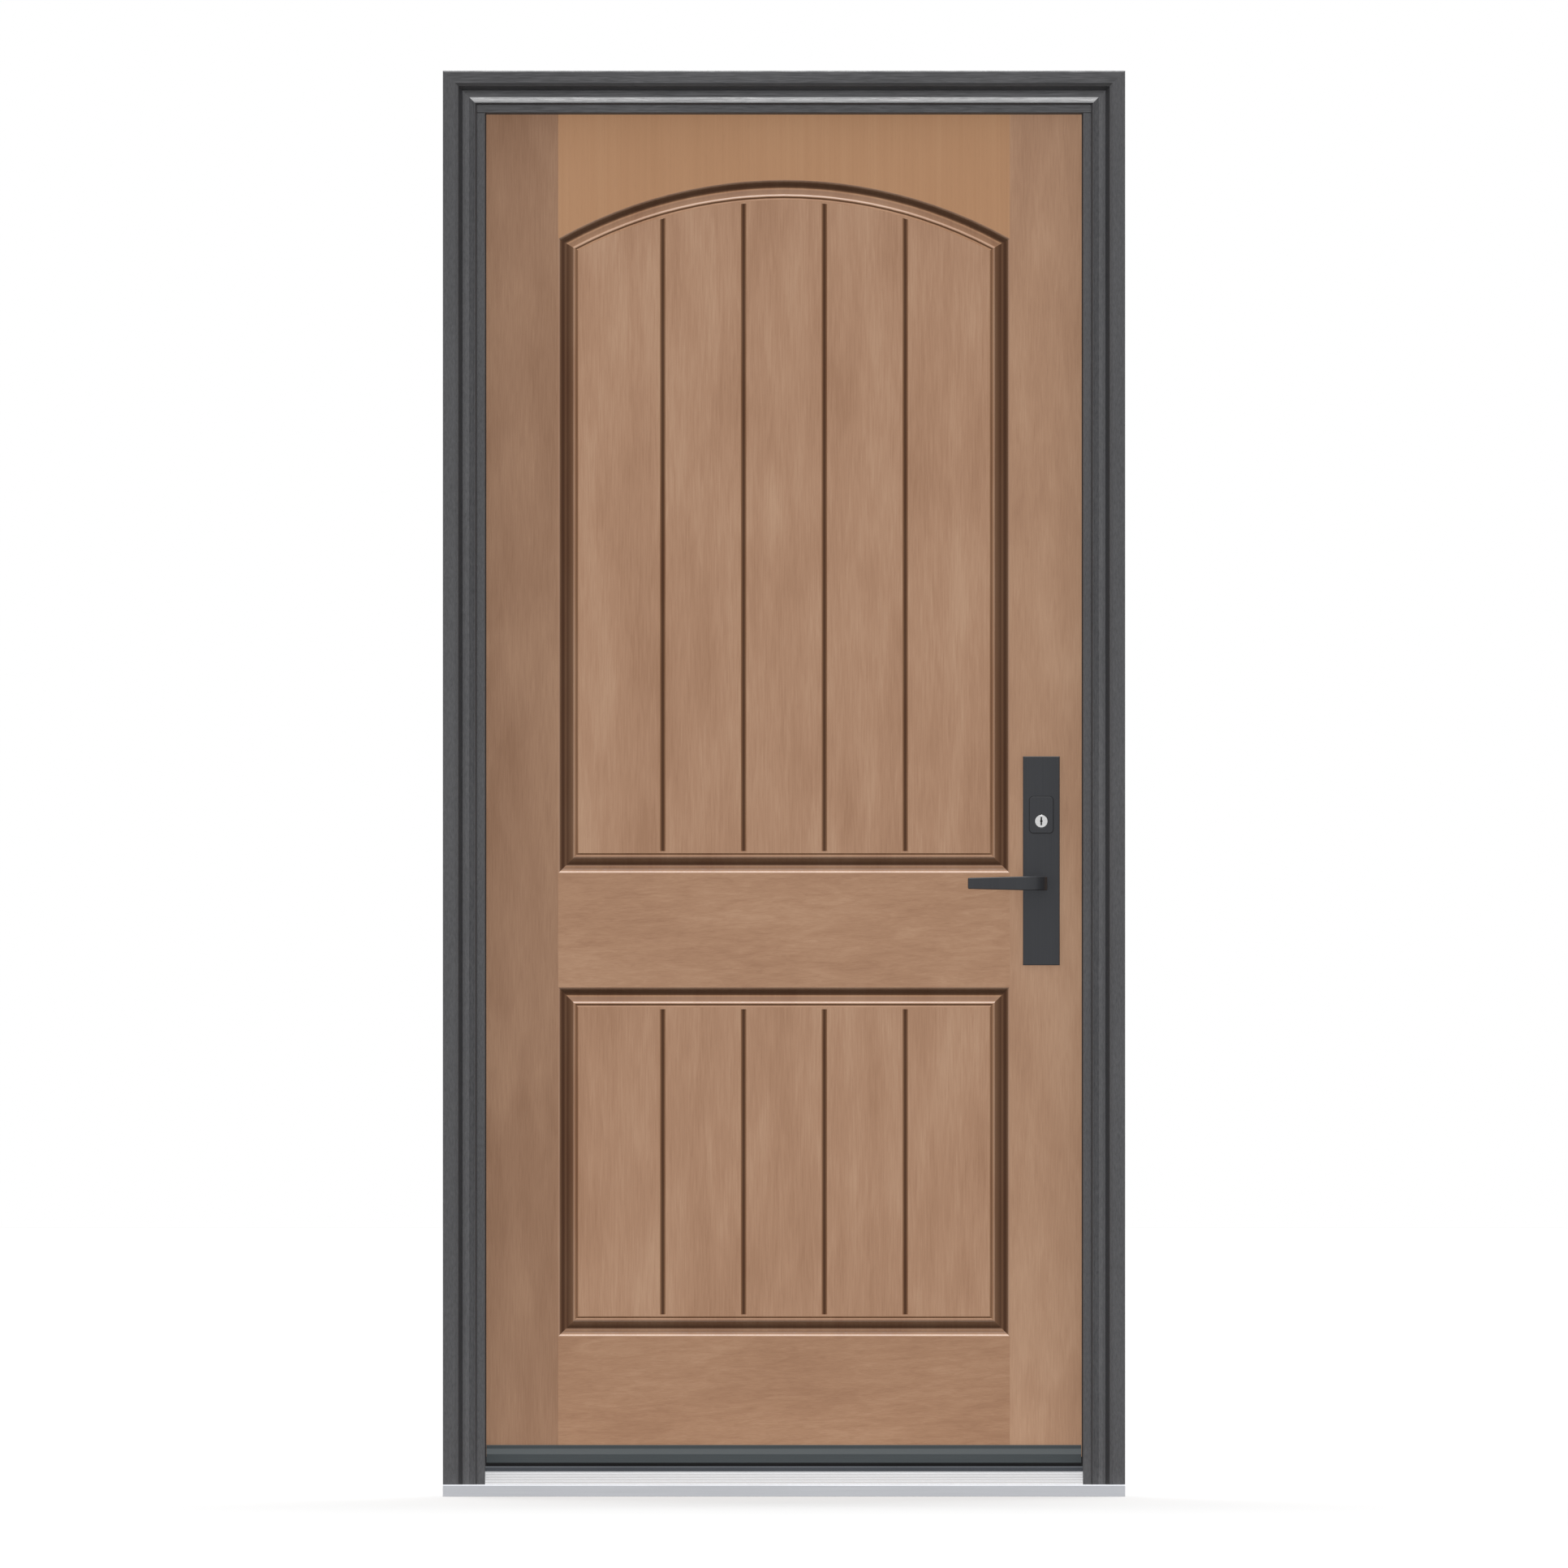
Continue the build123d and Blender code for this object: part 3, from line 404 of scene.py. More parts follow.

# Share of dark colour along the pressed edge, by distance in from the panel outline. Part is stain left in
# the valley and the quirk when wiped; part is painted shade and light: darker on the sides and where the
# edge faces down, lighter where it faces up
upright_stain_and_shade = [
    (-0.2, 0.0), (2.0, 0.6), (5.0, 0.88), (7.5, 0.87), (10.0, 0.66), (12.5, 0.83), (20.5, 0.56),
    (21.8, 0.14), (24.0, 0.06), (26.3, 0.55), (28.9, 0.0),
]
foot_stain_and_shade = [
    (1.9, 0.0), (3.2, 0.4), (6.5, 0.54), (8.4, 0.3), (11.0, 0.72), (13.5, 0.76), (20.4, 0.38),
    (21.4, 0.0), (24.5, 0.4), (26.5, 0.08), (27.4, 0.0),
]
crown_stain_and_shade = [
    (1.6, 0.0), (2.8, 0.4), (6.5, 0.84), (8.6, 0.78), (11.0, 0.03), (14.0, 0.44), (19.4, 0.35),
    (21.0, 0.0), (23.2, 0.0), (24.2, 0.2), (25.8, 0.05), (27.6, 0.26), (28.9, 0.0),
]
# Share at the floor of the plank grooves: stain left in them, and painted shade.
joint_stain_and_shade = 0.82
field_inset, field_depth = edge_section[-1]
field_half = panel_half - field_inset
field_steps, joint_margin = 12, 4.0
field_lines = []
for joint in plank_joints:
    field_lines += [joint - joint_half, joint - joint_floor, joint + joint_floor, joint + joint_half]
for step in range(-field_steps, field_steps + 1):
    line = field_half * step / field_steps
    if min(abs(line - joint) for joint in plank_joints) >= joint_half + joint_margin:
        field_lines.append(line)
field_lines.sort()


def panel_loop(panel, inset, depth):
    """One closed line round a panel: the foot from left to right, then the top from right to left."""
    bottom, spring, rise = panel
    half = panel_half - inset
    foot = [(half * x / field_half, depth, bottom + inset) for x in field_lines]
    if not rise:
        top = [(half * x / field_half, depth, spring - inset) for x in field_lines]
        return foot, top
    radius = (panel_half ** 2 + rise ** 2) / (2 * rise)
    centre = spring + rise - radius
    arc, field_arc = radius - inset, radius - field_inset
    reach, field_reach = math.asin(half / arc), math.asin(field_half / field_arc)
    turns = [reach * math.asin(x / field_arc) / field_reach for x in field_lines]
    top = [(arc * math.sin(turn), depth, centre + arc * math.cos(turn)) for turn in turns]
    return foot, top


def stain_and_shade_left(stops, inset):
    """Share of dark stain and painted shade at one distance in, between the two nearest stops."""
    for (start, first), (end, second) in zip(stops, stops[1:]):
        if start <= inset <= end:
            return first + (second - first) * (inset - start) / (end - start)
    return 0.0


(hinge_stile_zone, lock_stile_zone, top_rail_zone, lock_rail_zone, bottom_rail_zone,
 plank_zone, moulding_zone, polished_zone) = range(8)


def skin_mesh(mortises):
    """Points (x, depth, z), faces, shares of stain and painted shade by face and corner, zones and mitre
    lines of one skin.
    """
    points, faces, stain_and_shade_shares, zones, mitres = [], [], [], [], []
    known = {}

    def point(x, depth, z):
        key = (round(x, 2), round(depth, 3), round(z, 2))
        if key not in known:
            known[key] = len(points)
            points.append((x, depth, z))
        return known[key]

    def face(zone, *corners, stain_and_shade=(0.0, 0.0, 0.0, 0.0)):
        ring = [point(*corner) for corner in corners]
        faces.append(ring)
        stain_and_shade_shares.append(dict(zip(ring, stain_and_shade)))
        zones.append(zone)

    for panel in (lower_panel, upper_panel):
        loops = [panel_loop(panel, inset, depth) for inset, depth in edge_section]
        rings = [(inset, foot + top[::-1]) for (inset, depth), (foot, top) in zip(edge_section, loops)]
        for (outer_inset, outer), (inner_inset, inner) in zip(rings, rings[1:]):
            polished = outer_inset < crest_end or lip_reach[0] < outer_inset < lip_reach[1]
            zone = polished_zone if polished else moulding_zone
            turn = len(outer) // 2
            for here in range(len(outer)):
                after = (here + 1) % len(outer)
                # The table is picked by which way the edge faces, for the painted shade and light along it.
                stops = foot_stain_and_shade if 0 < after < turn else crown_stain_and_shade if after > turn else upright_stain_and_shade
                first, second = [stain_and_shade_left(stops, inset) for inset in (outer_inset, inner_inset)]
                face(zone, outer[here], outer[after], inner[after], inner[here],
                     stain_and_shade=(first, first, second, second))
            for corner in (0, turn - 1, turn, len(outer) - 1):
                mitres.append((point(*outer[corner]), point(*inner[corner])))
        foot, top = loops[-1]
        end_low = panel[0] + field_inset + joint_end
        for left, right in zip(range(len(foot)), range(1, len(foot))):
            x_left, x_right = foot[left][0], foot[right][0]
            middle = (x_left + x_right) / 2
            joint = min(plank_joints, key=lambda place: abs(place - middle))
            if abs(joint - middle) > joint_half:
                face(plank_zone, foot[left], foot[right], top[right], top[left])
                continue
            shoulders = [abs(abs(x - joint) - joint_half) < joint_match for x in (x_left, x_right)]
            drops = [0.0 if shoulder else 1.0 for shoulder in shoulders]
            depths = [field_depth + (joint_depth - field_depth) * drop for drop in drops]
            lows = (end_low, end_low)
            highs = (top[left][2] - joint_end, top[right][2] - joint_end)
            face(plank_zone, foot[left], foot[right],
                 (x_right, field_depth, end_low), (x_left, field_depth, end_low))
            face(plank_zone, (x_left, field_depth, highs[0]), (x_right, field_depth, highs[1]),
                 top[right], top[left])
            left_share, right_share = [joint_stain_and_shade * drop for drop in drops]
            low = [(x_left, depths[0], end_low), (x_right, depths[1], end_low)]
            high = [(x_right, depths[1], highs[1]), (x_left, depths[0], highs[0])]
            face(moulding_zone, *low, *high, stain_and_shade=(left_share, right_share, right_share, left_share))
            for order, ends in ((-1, lows), (1, highs)):
                wall = {}
                for x, depth, end, share in (
                        (x_left, field_depth, ends[0], 0.0),
                        (x_right, field_depth, ends[1], 0.0),
                        (x_right, depths[1], ends[1], right_share),
                        (x_left, depths[0], ends[0], left_share)):
                    wall.setdefault(point(x, depth, end), share)
                if len(wall) > 2:
                    faces.append(list(wall)[::order])
                    stain_and_shade_shares.append(wall)
                    zones.append(moulding_zone)

    rim_inset = edge_section[0][0]
    rim_half = panel_half - rim_inset
    low_foot, low_top = panel_loop(lower_panel, rim_inset, 0.0)
    high_foot, high_top = panel_loop(upper_panel, rim_inset, 0.0)
    for left, right in zip(range(len(low_foot)), range(1, len(low_foot))):
        x_left, x_right = low_foot[left][0], low_foot[right][0]
        face(bottom_rail_zone, (x_left, 0.0, skin_foot), (x_right, 0.0, skin_foot),
             low_foot[right], low_foot[left])
        face(lock_rail_zone, low_top[left], low_top[right], high_foot[right], high_foot[left])
        crown_left, crown_right = high_top[left], high_top[right]
        face(top_rail_zone, crown_left, crown_right,
             (crown_right[0], 0.0, skin_top), (crown_left[0], 0.0, skin_top))
    levels = [skin_foot, low_foot[0][2], low_top[0][2], high_foot[0][2], high_top[0][2], skin_top]
    for low, high in zip(levels, levels[1:]):
        cuts = [height for mortise in mortises for height in mortise if low < height < high]
        cuts = sorted([low, high] + cuts, reverse=True)
        rim_line = []
        for upper, lower in zip(cuts, cuts[1:]):
            notched = any(bottom <= lower and upper <= top for bottom, top in mortises)
            rim = skin_left + (mortise_depth if notched else 0.0)
            rim_line += [(rim, 0.0, upper), (rim, 0.0, lower)]
        face(hinge_stile_zone, (-rim_half, 0.0, low), (-rim_half, 0.0, high), *rim_line)
        face(lock_stile_zone, (rim_half, 0.0, low), (skin_right, 0.0, low),
             (skin_right, 0.0, high), (rim_half, 0.0, high))

    front_count = len(points)
    front_faces = list(faces)
    edge_uses = {}
    for ring in front_faces:
        for here, after in zip(ring, ring[1:] + ring[:1]):
            edge_uses.setdefault(frozenset((here, after)), []).append((here, after))
    points += [(x, depth + skin_sheet, z) for x, depth, z in points]
    for ring in front_faces:
        faces.append([corner + front_count for corner in ring[::-1]])
        zones.append(moulding_zone)
    for uses in edge_uses.values():
        if len(uses) == 1:
            here, after = uses[0]
            faces.append([after, here, here + front_count, after + front_count])
            zones.append(lock_stile_zone)
    return points, faces, stain_and_shade_shares, zones, mitres


def stained_skin(name, along, deep, middle, pale, fleck, band, waver=0.0, gloss=(0.36, 0.5), specular=0.5,
                 emboss=0.6, lean=0.0):
    """Clear coated stain over pressed grain, darkened by a corner attribute that holds wiped stain and
    painted shade: fleck is (length, width) of fine grain, band of broad grain.
    """
    pore, dark_stain_and_shade = 0.05, shade(42, 14, 2)
    material, tree, shader = new_finish(name, 0.42, specular)
    fibres = grain_lines(tree, along, *fleck, detail=5.0, waver=waver, lean=lean)
    bands = grain_lines(tree, along, *band, detail=2.0, waver=waver, lean=2 * lean)
    clouds = grain_lines(tree, along, 260.0, 110.0, detail=2.0)
    grain = blended(tree, blended(tree, fibres, bands, 0.5), clouds, 0.35)
    wood = toned(tree, grain, [(0.36, deep), (0.5, middle), (0.64, pale)])
    pores = grain_lines(tree, along, 14.0, 0.9, detail=1.0)
    filled = toned(tree, pores, [(0.58, [0.0, 0.0, 0.0, 1.0]), (0.74, [pore, pore, pore, 1.0])])
    attribute = tree.nodes.new("ShaderNodeAttribute")
    attribute.attribute_name = "stain_and_shade"
    stain_and_shade = tree.nodes.new("ShaderNodeMath")
    stain_and_shade.operation = "MAXIMUM"
    tree.links.new(attribute.outputs["Fac"], stain_and_shade.inputs[0])
    tree.links.new(filled, stain_and_shade.inputs[1])
    darken = tree.nodes.new("ShaderNodeMix")
    darken.data_type = "RGBA"
    darken.inputs[7].default_value = dark_stain_and_shade
    tree.links.new(stain_and_shade.outputs["Value"], darken.inputs[0])
    tree.links.new(wood, darken.inputs[6])
    tree.links.new(darken.outputs[2], shader.inputs["Base Color"])
    worn(tree, shader, fibres, *gloss)
    pressed(tree, shader, fibres, 0.12, emboss)
    return material


stile_grain = (38.0, 1.8), (150.0, 34.0), 0.5
rail_grain = (20.0, 2.4), (80.0, 16.0), 1.4
edge_grain = (90.0, 4.0), (240.0, 30.0), 0.0
rail_lean = 1.5
skin_finishes = [
    stained_skin("stained_hinge_stile", "Z", shade(138, 102, 76), shade(149, 113, 87), shade(160, 124, 97),
                 *stile_grain),
    stained_skin("stained_lock_stile", "Z", shade(157, 119, 92), shade(169, 131, 103), shade(180, 143, 115),
                 *stile_grain),
    stained_skin("stained_top_rail", "Z", shade(172, 128, 92), shade(176, 132, 96), shade(180, 137, 101),
                 (400.0, 2.8), (900.0, 14.0)),
    stained_skin("stained_lock_rail", "X", shade(156, 117, 89), shade(168, 129, 100), shade(179, 141, 112),
                 *rail_grain, lean=rail_lean),
    stained_skin("stained_bottom_rail", "X", shade(152, 113, 85), shade(163, 124, 95), shade(174, 136, 107),
                 *rail_grain, lean=rail_lean),
    stained_skin("stained_planks", "Z", shade(157, 118, 90), shade(170, 131, 103), shade(182, 145, 117),
                 (44.0, 1.8), (200.0, 30.0), 0.4),
    stained_skin("stained_and_shaded_mouldings", "Z", shade(152, 112, 84), shade(162, 123, 94), shade(170, 132, 103),
                 *edge_grain, gloss=(0.4, 0.5), specular=0.12, emboss=0.15),
    stained_skin("polished_moulding_edges", "Z", shade(156, 118, 92), shade(165, 128, 102),
                 shade(172, 137, 111), *edge_grain, gloss=(0.4, 0.46), specular=0.5, emboss=0.05),
]
for name, mortises, depth_to_y in (
        ("exterior_skin", [], lambda depth: skin_outside + depth),
        ("interior_skin", hinge_mortises, lambda depth: skin_inside - depth)):
    points, faces, stain_and_shade_shares, zones, mitres = skin_mesh(mortises)
    corners = [(x, depth_to_y(depth), z) for x, depth, z in points]
    skin = new_piece(
        name + "_pressed", corners, faces, "door", "fiberglass_skin", skin_finishes, 38.0, zones)
    edge_between = {frozenset(edge.vertices): edge for edge in skin.data.edges}
    for mitre in mitres:
        edge_between[frozenset(mitre)].use_edge_sharp = True
    # Each corner takes its share of stain and painted shade.
    layer = skin.data.attributes.new("stain_and_shade", "FLOAT", "CORNER")
    for side in skin.data.polygons:
        shares = stain_and_shade_shares[side.index] if side.index < len(stain_and_shade_shares) else {}
        for loop in side.loop_indices:
            layer.data[loop].value = shares.get(skin.data.loops[loop].vertex_index, 0.0)
    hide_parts(name)


# Drip cap and sweep: the cap is a dark painted metal angle screwed across the foot of the leaf, folded to
# throw water off the sill. The sweep below it is a soft finned rubber strip, stapled under the leaf.
def along_x(outline, ends):
    """A run of one (y, z) outline between two places across the door."""
    return run_of(outline, lambda a, b, x: (x, a, b), lambda a, b: ends[0], lambda a, b: ends[1])


cap_ends = (-443.4, 443.0)
cap_outline = rounded([
    (skin_outside, 75.6, 0), (68.3, 75.6, 0.6), (68.3, 69.8, 0.8), (66.4, 69.0, 1.0), (58.5, 62.4, 1.2),
    (58.5, 49.0, 0.6), (61.0, 49.0, 0.4), (61.0, skin_foot, 0), (skin_outside, skin_foot, 0),
])
dark_paint = satin_metal("dark_cap_paint", shade(60, 65, 67), shade(67, 72, 74), "X", 0.55, 0.0, 0.2)
run = along_x(cap_outline, cap_ends)
cap = new_piece("drip_cap_folded", *run, "door", "drip_cap_metal", [dark_paint])
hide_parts("drip_cap")
sweep_ends = (-448.9, 447.4)
sweep_front, sweep_back, sweep_base = 75.75, 109.75, 55.0
fin_root, fin_taper = 3.0, 0.8
root_round, tip_round = 0.3, 0.5
fin_feet = (45.5, 45.5, 38.5, 38.5)
fin_pitch = (sweep_back - sweep_front - fin_root) / (len(fin_feet) - 1)
sweep_corners = [(sweep_front, skin_foot, 0)]
for fin, foot in enumerate(fin_feet):
    fin_y = sweep_front + fin * fin_pitch
    sweep_corners += [
        (fin_y, sweep_base, root_round), (fin_y + fin_taper, foot, tip_round),
        (fin_y + fin_root - fin_taper, foot, tip_round), (fin_y + fin_root, sweep_base, root_round),
    ]
sweep_corners.append((sweep_back, skin_foot, 0))
run = along_x(rounded(sweep_corners), sweep_ends)
sweep = new_piece("door_sweep_finned", *run, "door", "seal_rubber", [rubber])
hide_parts("door_sweep")


# Hinges: three steel butt hinges with loose pins, let into the jamb and the hinge edge of the leaf.
# Each leaf is held by four countersunk screws.
def eased_copy(node, name, ease, body, material, steps=2):
    """A copy of a solid with its sharp edges eased, as rolling, casting or tumbling leaves them."""
    work = bmesh.new()
    work.from_mesh(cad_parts[node].data)
    bmesh.ops.remove_doubles(work, verts=work.verts, dist=1e-6)
    bmesh.ops.dissolve_limit(work, angle_limit=math.radians(1), verts=work.verts, edges=work.edges)
    sharp = [edge for edge in work.edges if len(edge.link_faces) == 2]
    sharp = [edge for edge in sharp if edge.calc_face_angle() > math.radians(32)]
    bmesh.ops.bevel(work, geom=sharp, offset=ease / 1000, offset_type="OFFSET", segments=steps, profile=0.5,
                    affect="EDGES", clamp_overlap=True)
    bmesh.ops.dissolve_degenerate(work, edges=work.edges, dist=1e-6)
    mesh = bpy.data.meshes.new(name)
    work.to_mesh(mesh)
    work.free()
    mesh.materials.append(material)
    mesh.shade_smooth()
    mesh.set_sharp_from_angle(angle=math.radians(40))
    piece = mounted(name, mesh, body)
    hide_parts(node)
    return piece


def screw_heads(name, places, facing, radius, body, material):
    """Countersunk heads with a cross recess, flush with the face that they hold."""
    normal = Vector(facing)
    side = normal.orthogonal().normalized()
    up = normal.cross(side)
    arm, web, sink = radius * 0.52, radius * 0.13, radius * 0.3
    crown_radius, foot_radius = radius * 0.9, radius * 0.6
    rim_rise, crown_rise, foot_rise = 0.05, 0.3, -1.2
    floor_share, head_sides = 0.8, 24
    quarter = [(arm, web), (web, web), (web, arm)]
    half_cross = quarter + [(-b, a) for a, b in quarter]
    cross = half_cross + [(-a, -b) for a, b in half_cross]
    turns = [math.tau * step / head_sides for step in range(head_sides)]
    work = bmesh.new()

    def corner(place, a, b, rise):
        return work.verts.new((Vector(place) + side * a + up * b + normal * rise) / 1000)

    def circle(place, reach, rise):
        return [corner(place, reach * math.cos(turn), reach * math.sin(turn), rise) for turn in turns]

    for place in places:
        rim = circle(place, radius, rim_rise)
        ring = circle(place, crown_radius, crown_rise)
        mouth = [corner(place, a, b, crown_rise) for a, b in cross]
        floor = [corner(place, a * floor_share, b * floor_share, crown_rise - sink) for a, b in cross]
        foot = circle(place, foot_radius, foot_rise)
        for first, second in ((foot, rim), (rim, ring), (mouth, floor)):
            for here in range(len(first)):
                after = (here + 1) % len(first)
                work.faces.new((first[here], first[after], second[after], second[here]))
        work.faces.new(floor)
        work.faces.new(foot[::-1])
        edges = []
        for loop in (ring, mouth):
            for pair in zip(loop, loop[1:] + loop[:1]):
                edges.append(work.edges.get(pair) or work.edges.new(pair))
        bmesh.ops.triangle_fill(work, use_beauty=True, edges=edges, normal=normal)
    bmesh.ops.recalc_face_normals(work, faces=work.faces)
    mesh = bpy.data.meshes.new(name)
    work.to_mesh(mesh)
    work.free()
    mesh.materials.append(material)
    mesh.shade_smooth()
    mesh.set_sharp_from_angle(angle=math.radians(30))
    return mounted(name, mesh, body)


hinge_steel = satin_metal("dark_hinge_coat", shade(54, 55, 57), shade(66, 67, 69), "Z", 0.4, 0.2, 0.3)
leaf_ease, pin_ease = 0.35, 0.7
for place in ("upper", "middle", "lower"):
    jamb_leaf, door_leaf, pin = [f"hinge_{part}_{place}" for part in ("jamb_leaf", "door_leaf", "pin")]
    eased_copy(jamb_leaf, jamb_leaf + "_rolled", leaf_ease, "frame", hinge_steel)
    eased_copy(door_leaf, door_leaf + "_rolled", leaf_ease, "door", hinge_steel)
    eased_copy(pin, pin + "_turned", pin_ease, "frame", hinge_steel)
rabbet_half = 457.9
hinge_screw = 4.2
screw_rows = [(-38.0, 84.0), (-13.0, 98.0), (13.0, 98.0), (38.0, 84.0)]
screw_spots = [(y, height + rise) for height in hinge_heights for rise, y in screw_rows]
jamb_places = [(-rabbet_half, *spot) for spot in screw_spots]
door_places = [(skin_left, *spot) for spot in screw_spots]
screw_heads("hinge_jamb_screws", jamb_places, (1, 0, 0), hinge_screw, "frame", hinge_steel)
screw_heads("hinge_door_screws", door_places, (-1, 0, 0), hinge_screw, "door", hinge_steel)


# Lock and strikes: a long steel faceplate let into the lock edge with four bolts in it, drawn back flush.
# Three strike plates face them in the jamb. All are screwed in.
lock_steel = satin_metal("brushed_lock_steel", shade(140, 140, 138), shade(168, 168, 166), "Z", 0.34, 0.85)
bolt_steel = satin_metal("turned_bolt_steel", shade(158, 158, 156), shade(184, 184, 182), "X", 0.3, 0.85)
plate_ease, bolt_ease, lock_screw = 0.3, 0.8, 3.6
eased_copy("lock_faceplate", "lock_faceplate_pressed", plate_ease, "door", lock_steel)
for node in ("latch_bolt", "deadbolt", "hook_bolts"):
    eased_copy(node, node + "_machined", bolt_ease, "door", bolt_steel)
for node in ("strike_plate_centre", "strike_plate_upper", "strike_plate_lower"):
    eased_copy(node, node + "_pressed", plate_ease, "frame", lock_steel)
edge_heights = (172.0, 500.0, 760.0, 1180.0, 1480.0, 1888.0)
edge_places = [(skin_right, leaf_middle, height) for height in edge_heights]
screw_heads("faceplate_screws", edge_places, (1, 0, 0), lock_screw, "door", lock_steel)
strike_heights = (270.0, 330.0, 889.0, 946.0, 1018.0, 1610.0, 1670.0)
strike_places = [(rabbet_half, leaf_middle, height) for height in strike_heights]
screw_heads("strike_screws", strike_places, (-1, 0, 0), lock_screw, "frame", lock_steel)


# Handle plates, guard and cylinder: long cast plates on both faces, drawn together by two screws from
# inside. The guard on the outer plate shields the cylinder, whose bright plug takes the key. A thumb turn
# works the cylinder from inside.
handle_x, cylinder_z = 383.5, 1005.3
plate_outside, plate_inside = 61.5, 124.0
cast_ease = 0.35
dark_coat = satin_metal("dark_handle_coat", shade(49, 50, 53), shade(57, 58, 61), "Z", 0.42, 0.0, 0.25)
plug_nickel = satin_metal("bright_plug_nickel", shade(196, 196, 196), shade(217, 217, 217), "X", 0.26, 0.6)
eased_copy("exterior_plate", "exterior_plate_cast", cast_ease, "door", dark_coat)
eased_copy("interior_plate", "interior_plate_cast", cast_ease, "door", dark_coat)
eased_copy("cylinder_guard", "cylinder_guard_cast", 0.45, "door", dark_coat)
# A thin black sheet, a little larger than the guard and behind it, shows as a dark outline round it: painted
# shade.
shade_sheet_across, shade_sheet_up, shade_sheet_round = 18.4, 27.9, 6.4
shade_sheet_lift, shade_sheet_thickness = 9.5, 0.6
shade_sheet_outline = rounded([
    (-shade_sheet_across, -shade_sheet_up, shade_sheet_round), (shade_sheet_across, -shade_sheet_up, shade_sheet_round),
    (shade_sheet_across, shade_sheet_up, shade_sheet_round), (-shade_sheet_across, shade_sheet_up, shade_sheet_round),
], steps=8)
run = run_of(shade_sheet_outline, lambda a, b, y: (handle_x + a, y, cylinder_z + shade_sheet_lift + b),
             lambda a, b: plate_outside - shade_sheet_thickness, lambda a, b: plate_outside)
new_piece("cylinder_guard_shade_sheet", *run, "door", "seal_rubber", [rubber])
eased_copy("thumbturn", "thumbturn_cast", 0.5, "key", dark_coat)
plug = eased_copy("key_plug", "key_plug_turned", 0.3, "key", plug_nickel)
# Faces inside the keyway take a near-black finish: painted shade in the slot.
plug.data.materials.append(moulded_plastic("keyway_painted_shade", shade(16, 16, 16), shade(26, 26, 26), 0.8))
keyway_across, keyway_up = 2.2, 6.6
keyway_start, keyway_end = 58.9, 80.0
for side in plug.data.polygons:
    x, y, z = side.center * 1000
    beside = abs(x - handle_x) < keyway_across and abs(z - cylinder_z) < keyway_up
    if beside and keyway_start < y < keyway_end:
        side.material_index = 1
finish_solid("cylinder_tailpiece", lock_steel)
plate_heights, plate_screw = (808.0, 1084.0), 3.4
plate_places = [(handle_x, plate_inside, height) for height in plate_heights]
screw_heads("interior_plate_screws", plate_places, (0, 1, 0), plate_screw, "door", dark_coat)


# Levers: a flat strap bent out of a round hub, cast in one and finished dark like the plates.
# Both are pinned to one square spindle through the leaf, and a spring in the lock brings them level.
lever_x, lever_z = handle_x, 912.7
neck_half, neck_start = 8.8, 56.5
strap_face, strap_back = 3.5, 12.5
outer_bend, lever_length = 34.0, 109.6
neck_height, tip_height = 10.4, 8.3
lever_edge, least_edge, tip_edge = 1.5, 0.2, 2.0
hub_radius, hub_end, hub_lap = 9.0, skin_outside, 1.0
bend_steps, hub_sides = 12, 48
bend_x = lever_x + neck_half - outer_bend
tip_x = lever_x - lever_length
inner_bend = lever_x - neck_half - bend_x


def lever_stations():
    """Outer point, inner point, half height and inset of the strap, from the neck to the tip."""
    stations = []
    for share in (0.0, 0.5, 1.0):
        outer_y = neck_start + (strap_face + outer_bend - neck_start) * share
        inner_y = neck_start + (strap_back + inner_bend - neck_start) * share
        stations.append(((lever_x + neck_half, outer_y), (lever_x - neck_half, inner_y), neck_height, 0.0))
    for step in range(1, bend_steps + 1):
        turn = math.radians(90 * step / bend_steps)
        swing = (math.cos(turn), -math.sin(turn))
        outer = (bend_x + outer_bend * swing[0], strap_face + outer_bend + outer_bend * swing[1])
        inner = (bend_x + inner_bend * swing[0], strap_back + inner_bend + inner_bend * swing[1])
        stations.append((outer, inner, neck_height, 0.0))
    run_length = bend_x - tip_x
    for back in (60.0, 40.0, 20.0, tip_edge, tip_edge * 0.6, tip_edge * 0.3, tip_edge * 0.1, 0.0):
        x = tip_x + back
        height = tip_height + (neck_height - tip_height) * back / run_length
        hollow = max(0.0, tip_edge - back)
        inset = tip_edge - math.sqrt(tip_edge ** 2 - hollow ** 2)
        stations.append(((x, strap_face), (x, strap_back), height, inset * 0.9))
    return stations


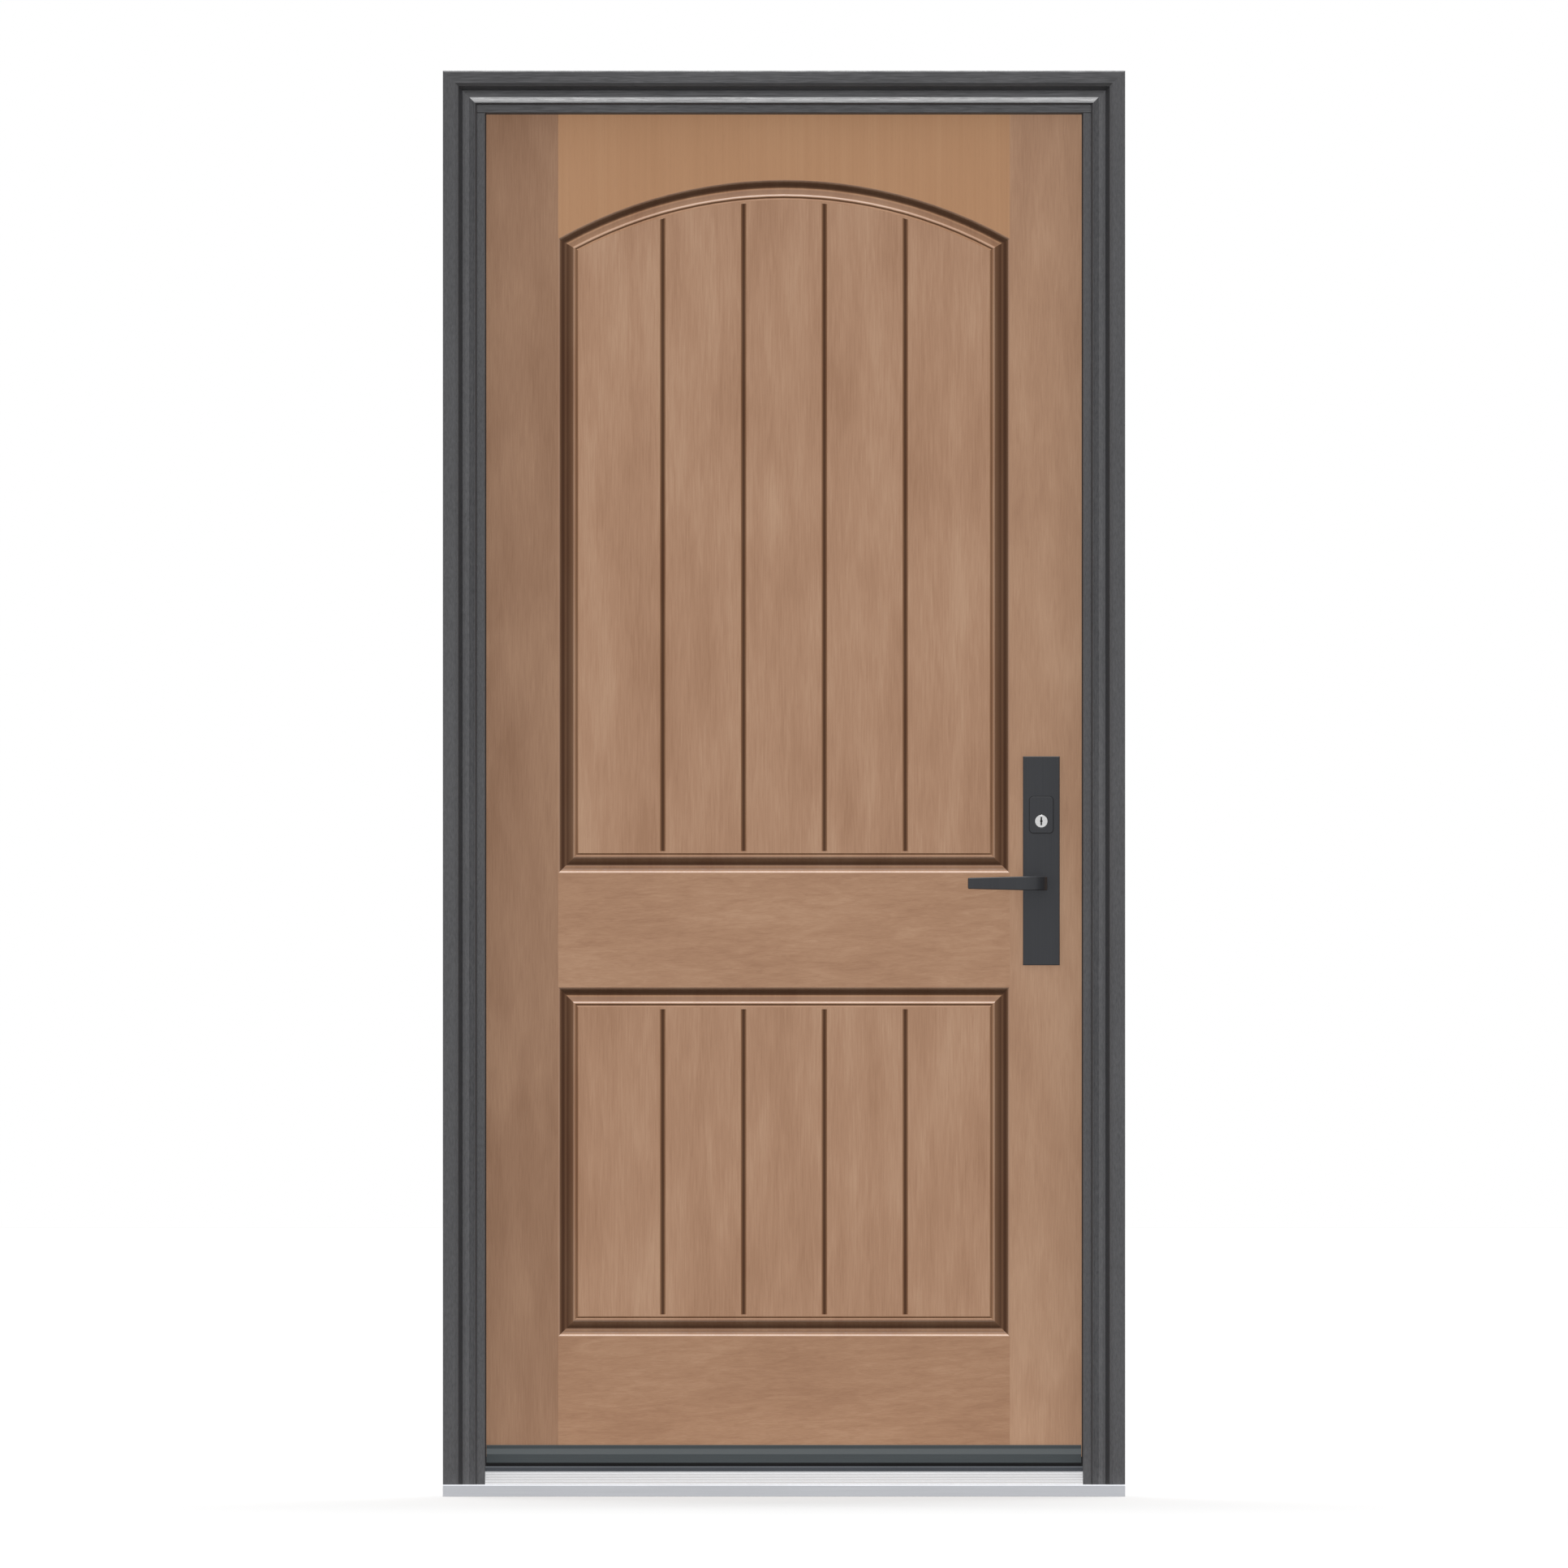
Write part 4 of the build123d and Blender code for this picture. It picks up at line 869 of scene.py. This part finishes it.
def lever_mesh():
    """The strap as rounded sections along the bend, and the hub behind it."""
    corners, faces = [], []
    rings = []
    for outer, inner, height, inset in lever_stations():
        outer, inner = Vector(outer), Vector(inner)
        width = (inner - outer).length - 2 * inset
        across = (inner - outer).normalized()
        middle = (outer + inner) / 2
        tall = height - inset
        edge = max(least_edge, lever_edge - inset * 0.5)
        half = width / 2
        box = [(-half, -tall, edge), (half, -tall, edge), (half, tall, edge), (-half, tall, edge)]
        ring = []
        for a, b in rounded(box, 4):
            spot = middle + across * a
            ring.append(len(corners))
            corners.append((spot.x, spot.y, lever_z + b))
        rings.append(ring)
    for first, second in zip(rings, rings[1:]):
        for here in range(len(first)):
            after = (here + 1) % len(first)
            faces.append((first[here], first[after], second[after], second[here]))
    faces += [tuple(rings[0]), tuple(rings[-1][::-1])]
    start = len(corners)
    for y in (neck_start - hub_lap, hub_end):
        for step in range(hub_sides):
            turn = math.tau * step / hub_sides
            corners.append((lever_x + hub_radius * math.cos(turn), y, lever_z + hub_radius * math.sin(turn)))
    for here in range(hub_sides):
        after = (here + 1) % hub_sides
        faces.append((start + here, start + after, start + hub_sides + after, start + hub_sides + here))
    front_end = tuple(range(start, start + hub_sides))
    back_end = tuple(range(start + 2 * hub_sides - 1, start + hub_sides - 1, -1))
    faces += [front_end, back_end]
    return corners, faces


corners, faces = lever_mesh()
lever = new_piece("exterior_lever_cast", corners, faces, "levers", "handle_metal", [dark_coat], 35.0)
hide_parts("exterior_lever")
inside_corners = [(x, 2 * leaf_middle - y, z) for x, y, z in corners]
lever = new_piece("interior_lever_cast", inside_corners, faces, "levers", "handle_metal", [dark_coat], 35.0)
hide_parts("interior_lever")
finish_solid("lever_spindle", lock_steel)


# Studio: a pale floor and an even white surround, with two broad lamps high in front and behind.
# The camera stands far off, square to the outside face, as in the photograph.
scene = bpy.context.scene
scene.view_settings.view_transform = "Standard"
frame_width, film_width = 2.3354, 36.0
camera_distance, camera_height = 100.0, 1.0607
camera_data = bpy.data.cameras.new("camera")
camera_data.sensor_width = film_width
camera_data.lens = film_width * camera_distance / frame_width
camera_data.clip_start = 1.0
camera_data.clip_end = 200.0
camera = bpy.data.objects.new("camera", camera_data)
camera.location = (0.0, -camera_distance, camera_height)
camera.rotation_euler = (math.radians(90), 0.0, 0.0)
scene.collection.objects.link(camera)
scene.camera = camera


def seen_directly(tree):
    """1 for rays that show the surround: straight from the camera, in a reflection or through glass."""
    path = tree.nodes.new("ShaderNodeLightPath")
    total = path.outputs["Is Camera Ray"]
    for name in ("Is Glossy Ray", "Is Transmission Ray"):
        most = tree.nodes.new("ShaderNodeMath")
        most.operation = "MAXIMUM"
        tree.links.new(total, most.inputs[0])
        tree.links.new(path.outputs[name], most.inputs[1])
        total = most.outputs[0]
    return total


def picked(tree, chooser, plain, shown):
    """One value for light that falls on the object, another for what is seen."""
    mix = tree.nodes.new("ShaderNodeMix")
    mix.inputs[2].default_value = plain
    mix.inputs[3].default_value = shown
    tree.links.new(chooser, mix.inputs[0])
    return mix.outputs[0]


world = bpy.data.worlds.new("white_surround")
world.use_nodes = True
scene.world = world
surround = world.node_tree.nodes["Background"]
surround.inputs["Color"].default_value = (1.0, 1.0, 1.0, 1.0)
strength = picked(world.node_tree, seen_directly(world.node_tree), plain=0.38, shown=1.0)
world.node_tree.links.new(strength, surround.inputs["Strength"])

floor_mesh = bpy.data.meshes.new("floor")
floor_half = 60.0
floor_corners = [(x * floor_half, y * floor_half, 0.0) for x, y in ((-1, -1), (1, -1), (1, 1), (-1, 1))]
floor_mesh.from_pydata(floor_corners, [], [(0, 1, 2, 3)])
floor = bpy.data.objects.new("floor", floor_mesh)
scene.collection.objects.link(floor)
pale, pale_tree, pale_shader = new_finish("pale_floor", 1.0, 0.0)
share = picked(pale_tree, seen_directly(pale_tree), plain=0.1, shown=0.56)
pale_tree.links.new(share, pale_shader.inputs["Base Color"])
floor_mesh.materials.append(pale)

for name, lean, turn, power, spread, shadow in (
        ("front_lamp", 30.0, 0.0, 3.9, 16.0, False), ("back_lamp", 55.0, 180.0, 2.4, 50.0, True)):
    lamp_data = bpy.data.lights.new(name, "SUN")
    lamp_data.energy = power
    lamp_data.angle = math.radians(spread)
    lamp_data.use_shadow = shadow
    lamp = bpy.data.objects.new(name, lamp_data)
    lamp.rotation_euler = (math.radians(lean), 0.0, math.radians(turn))
    scene.collection.objects.link(lamp)
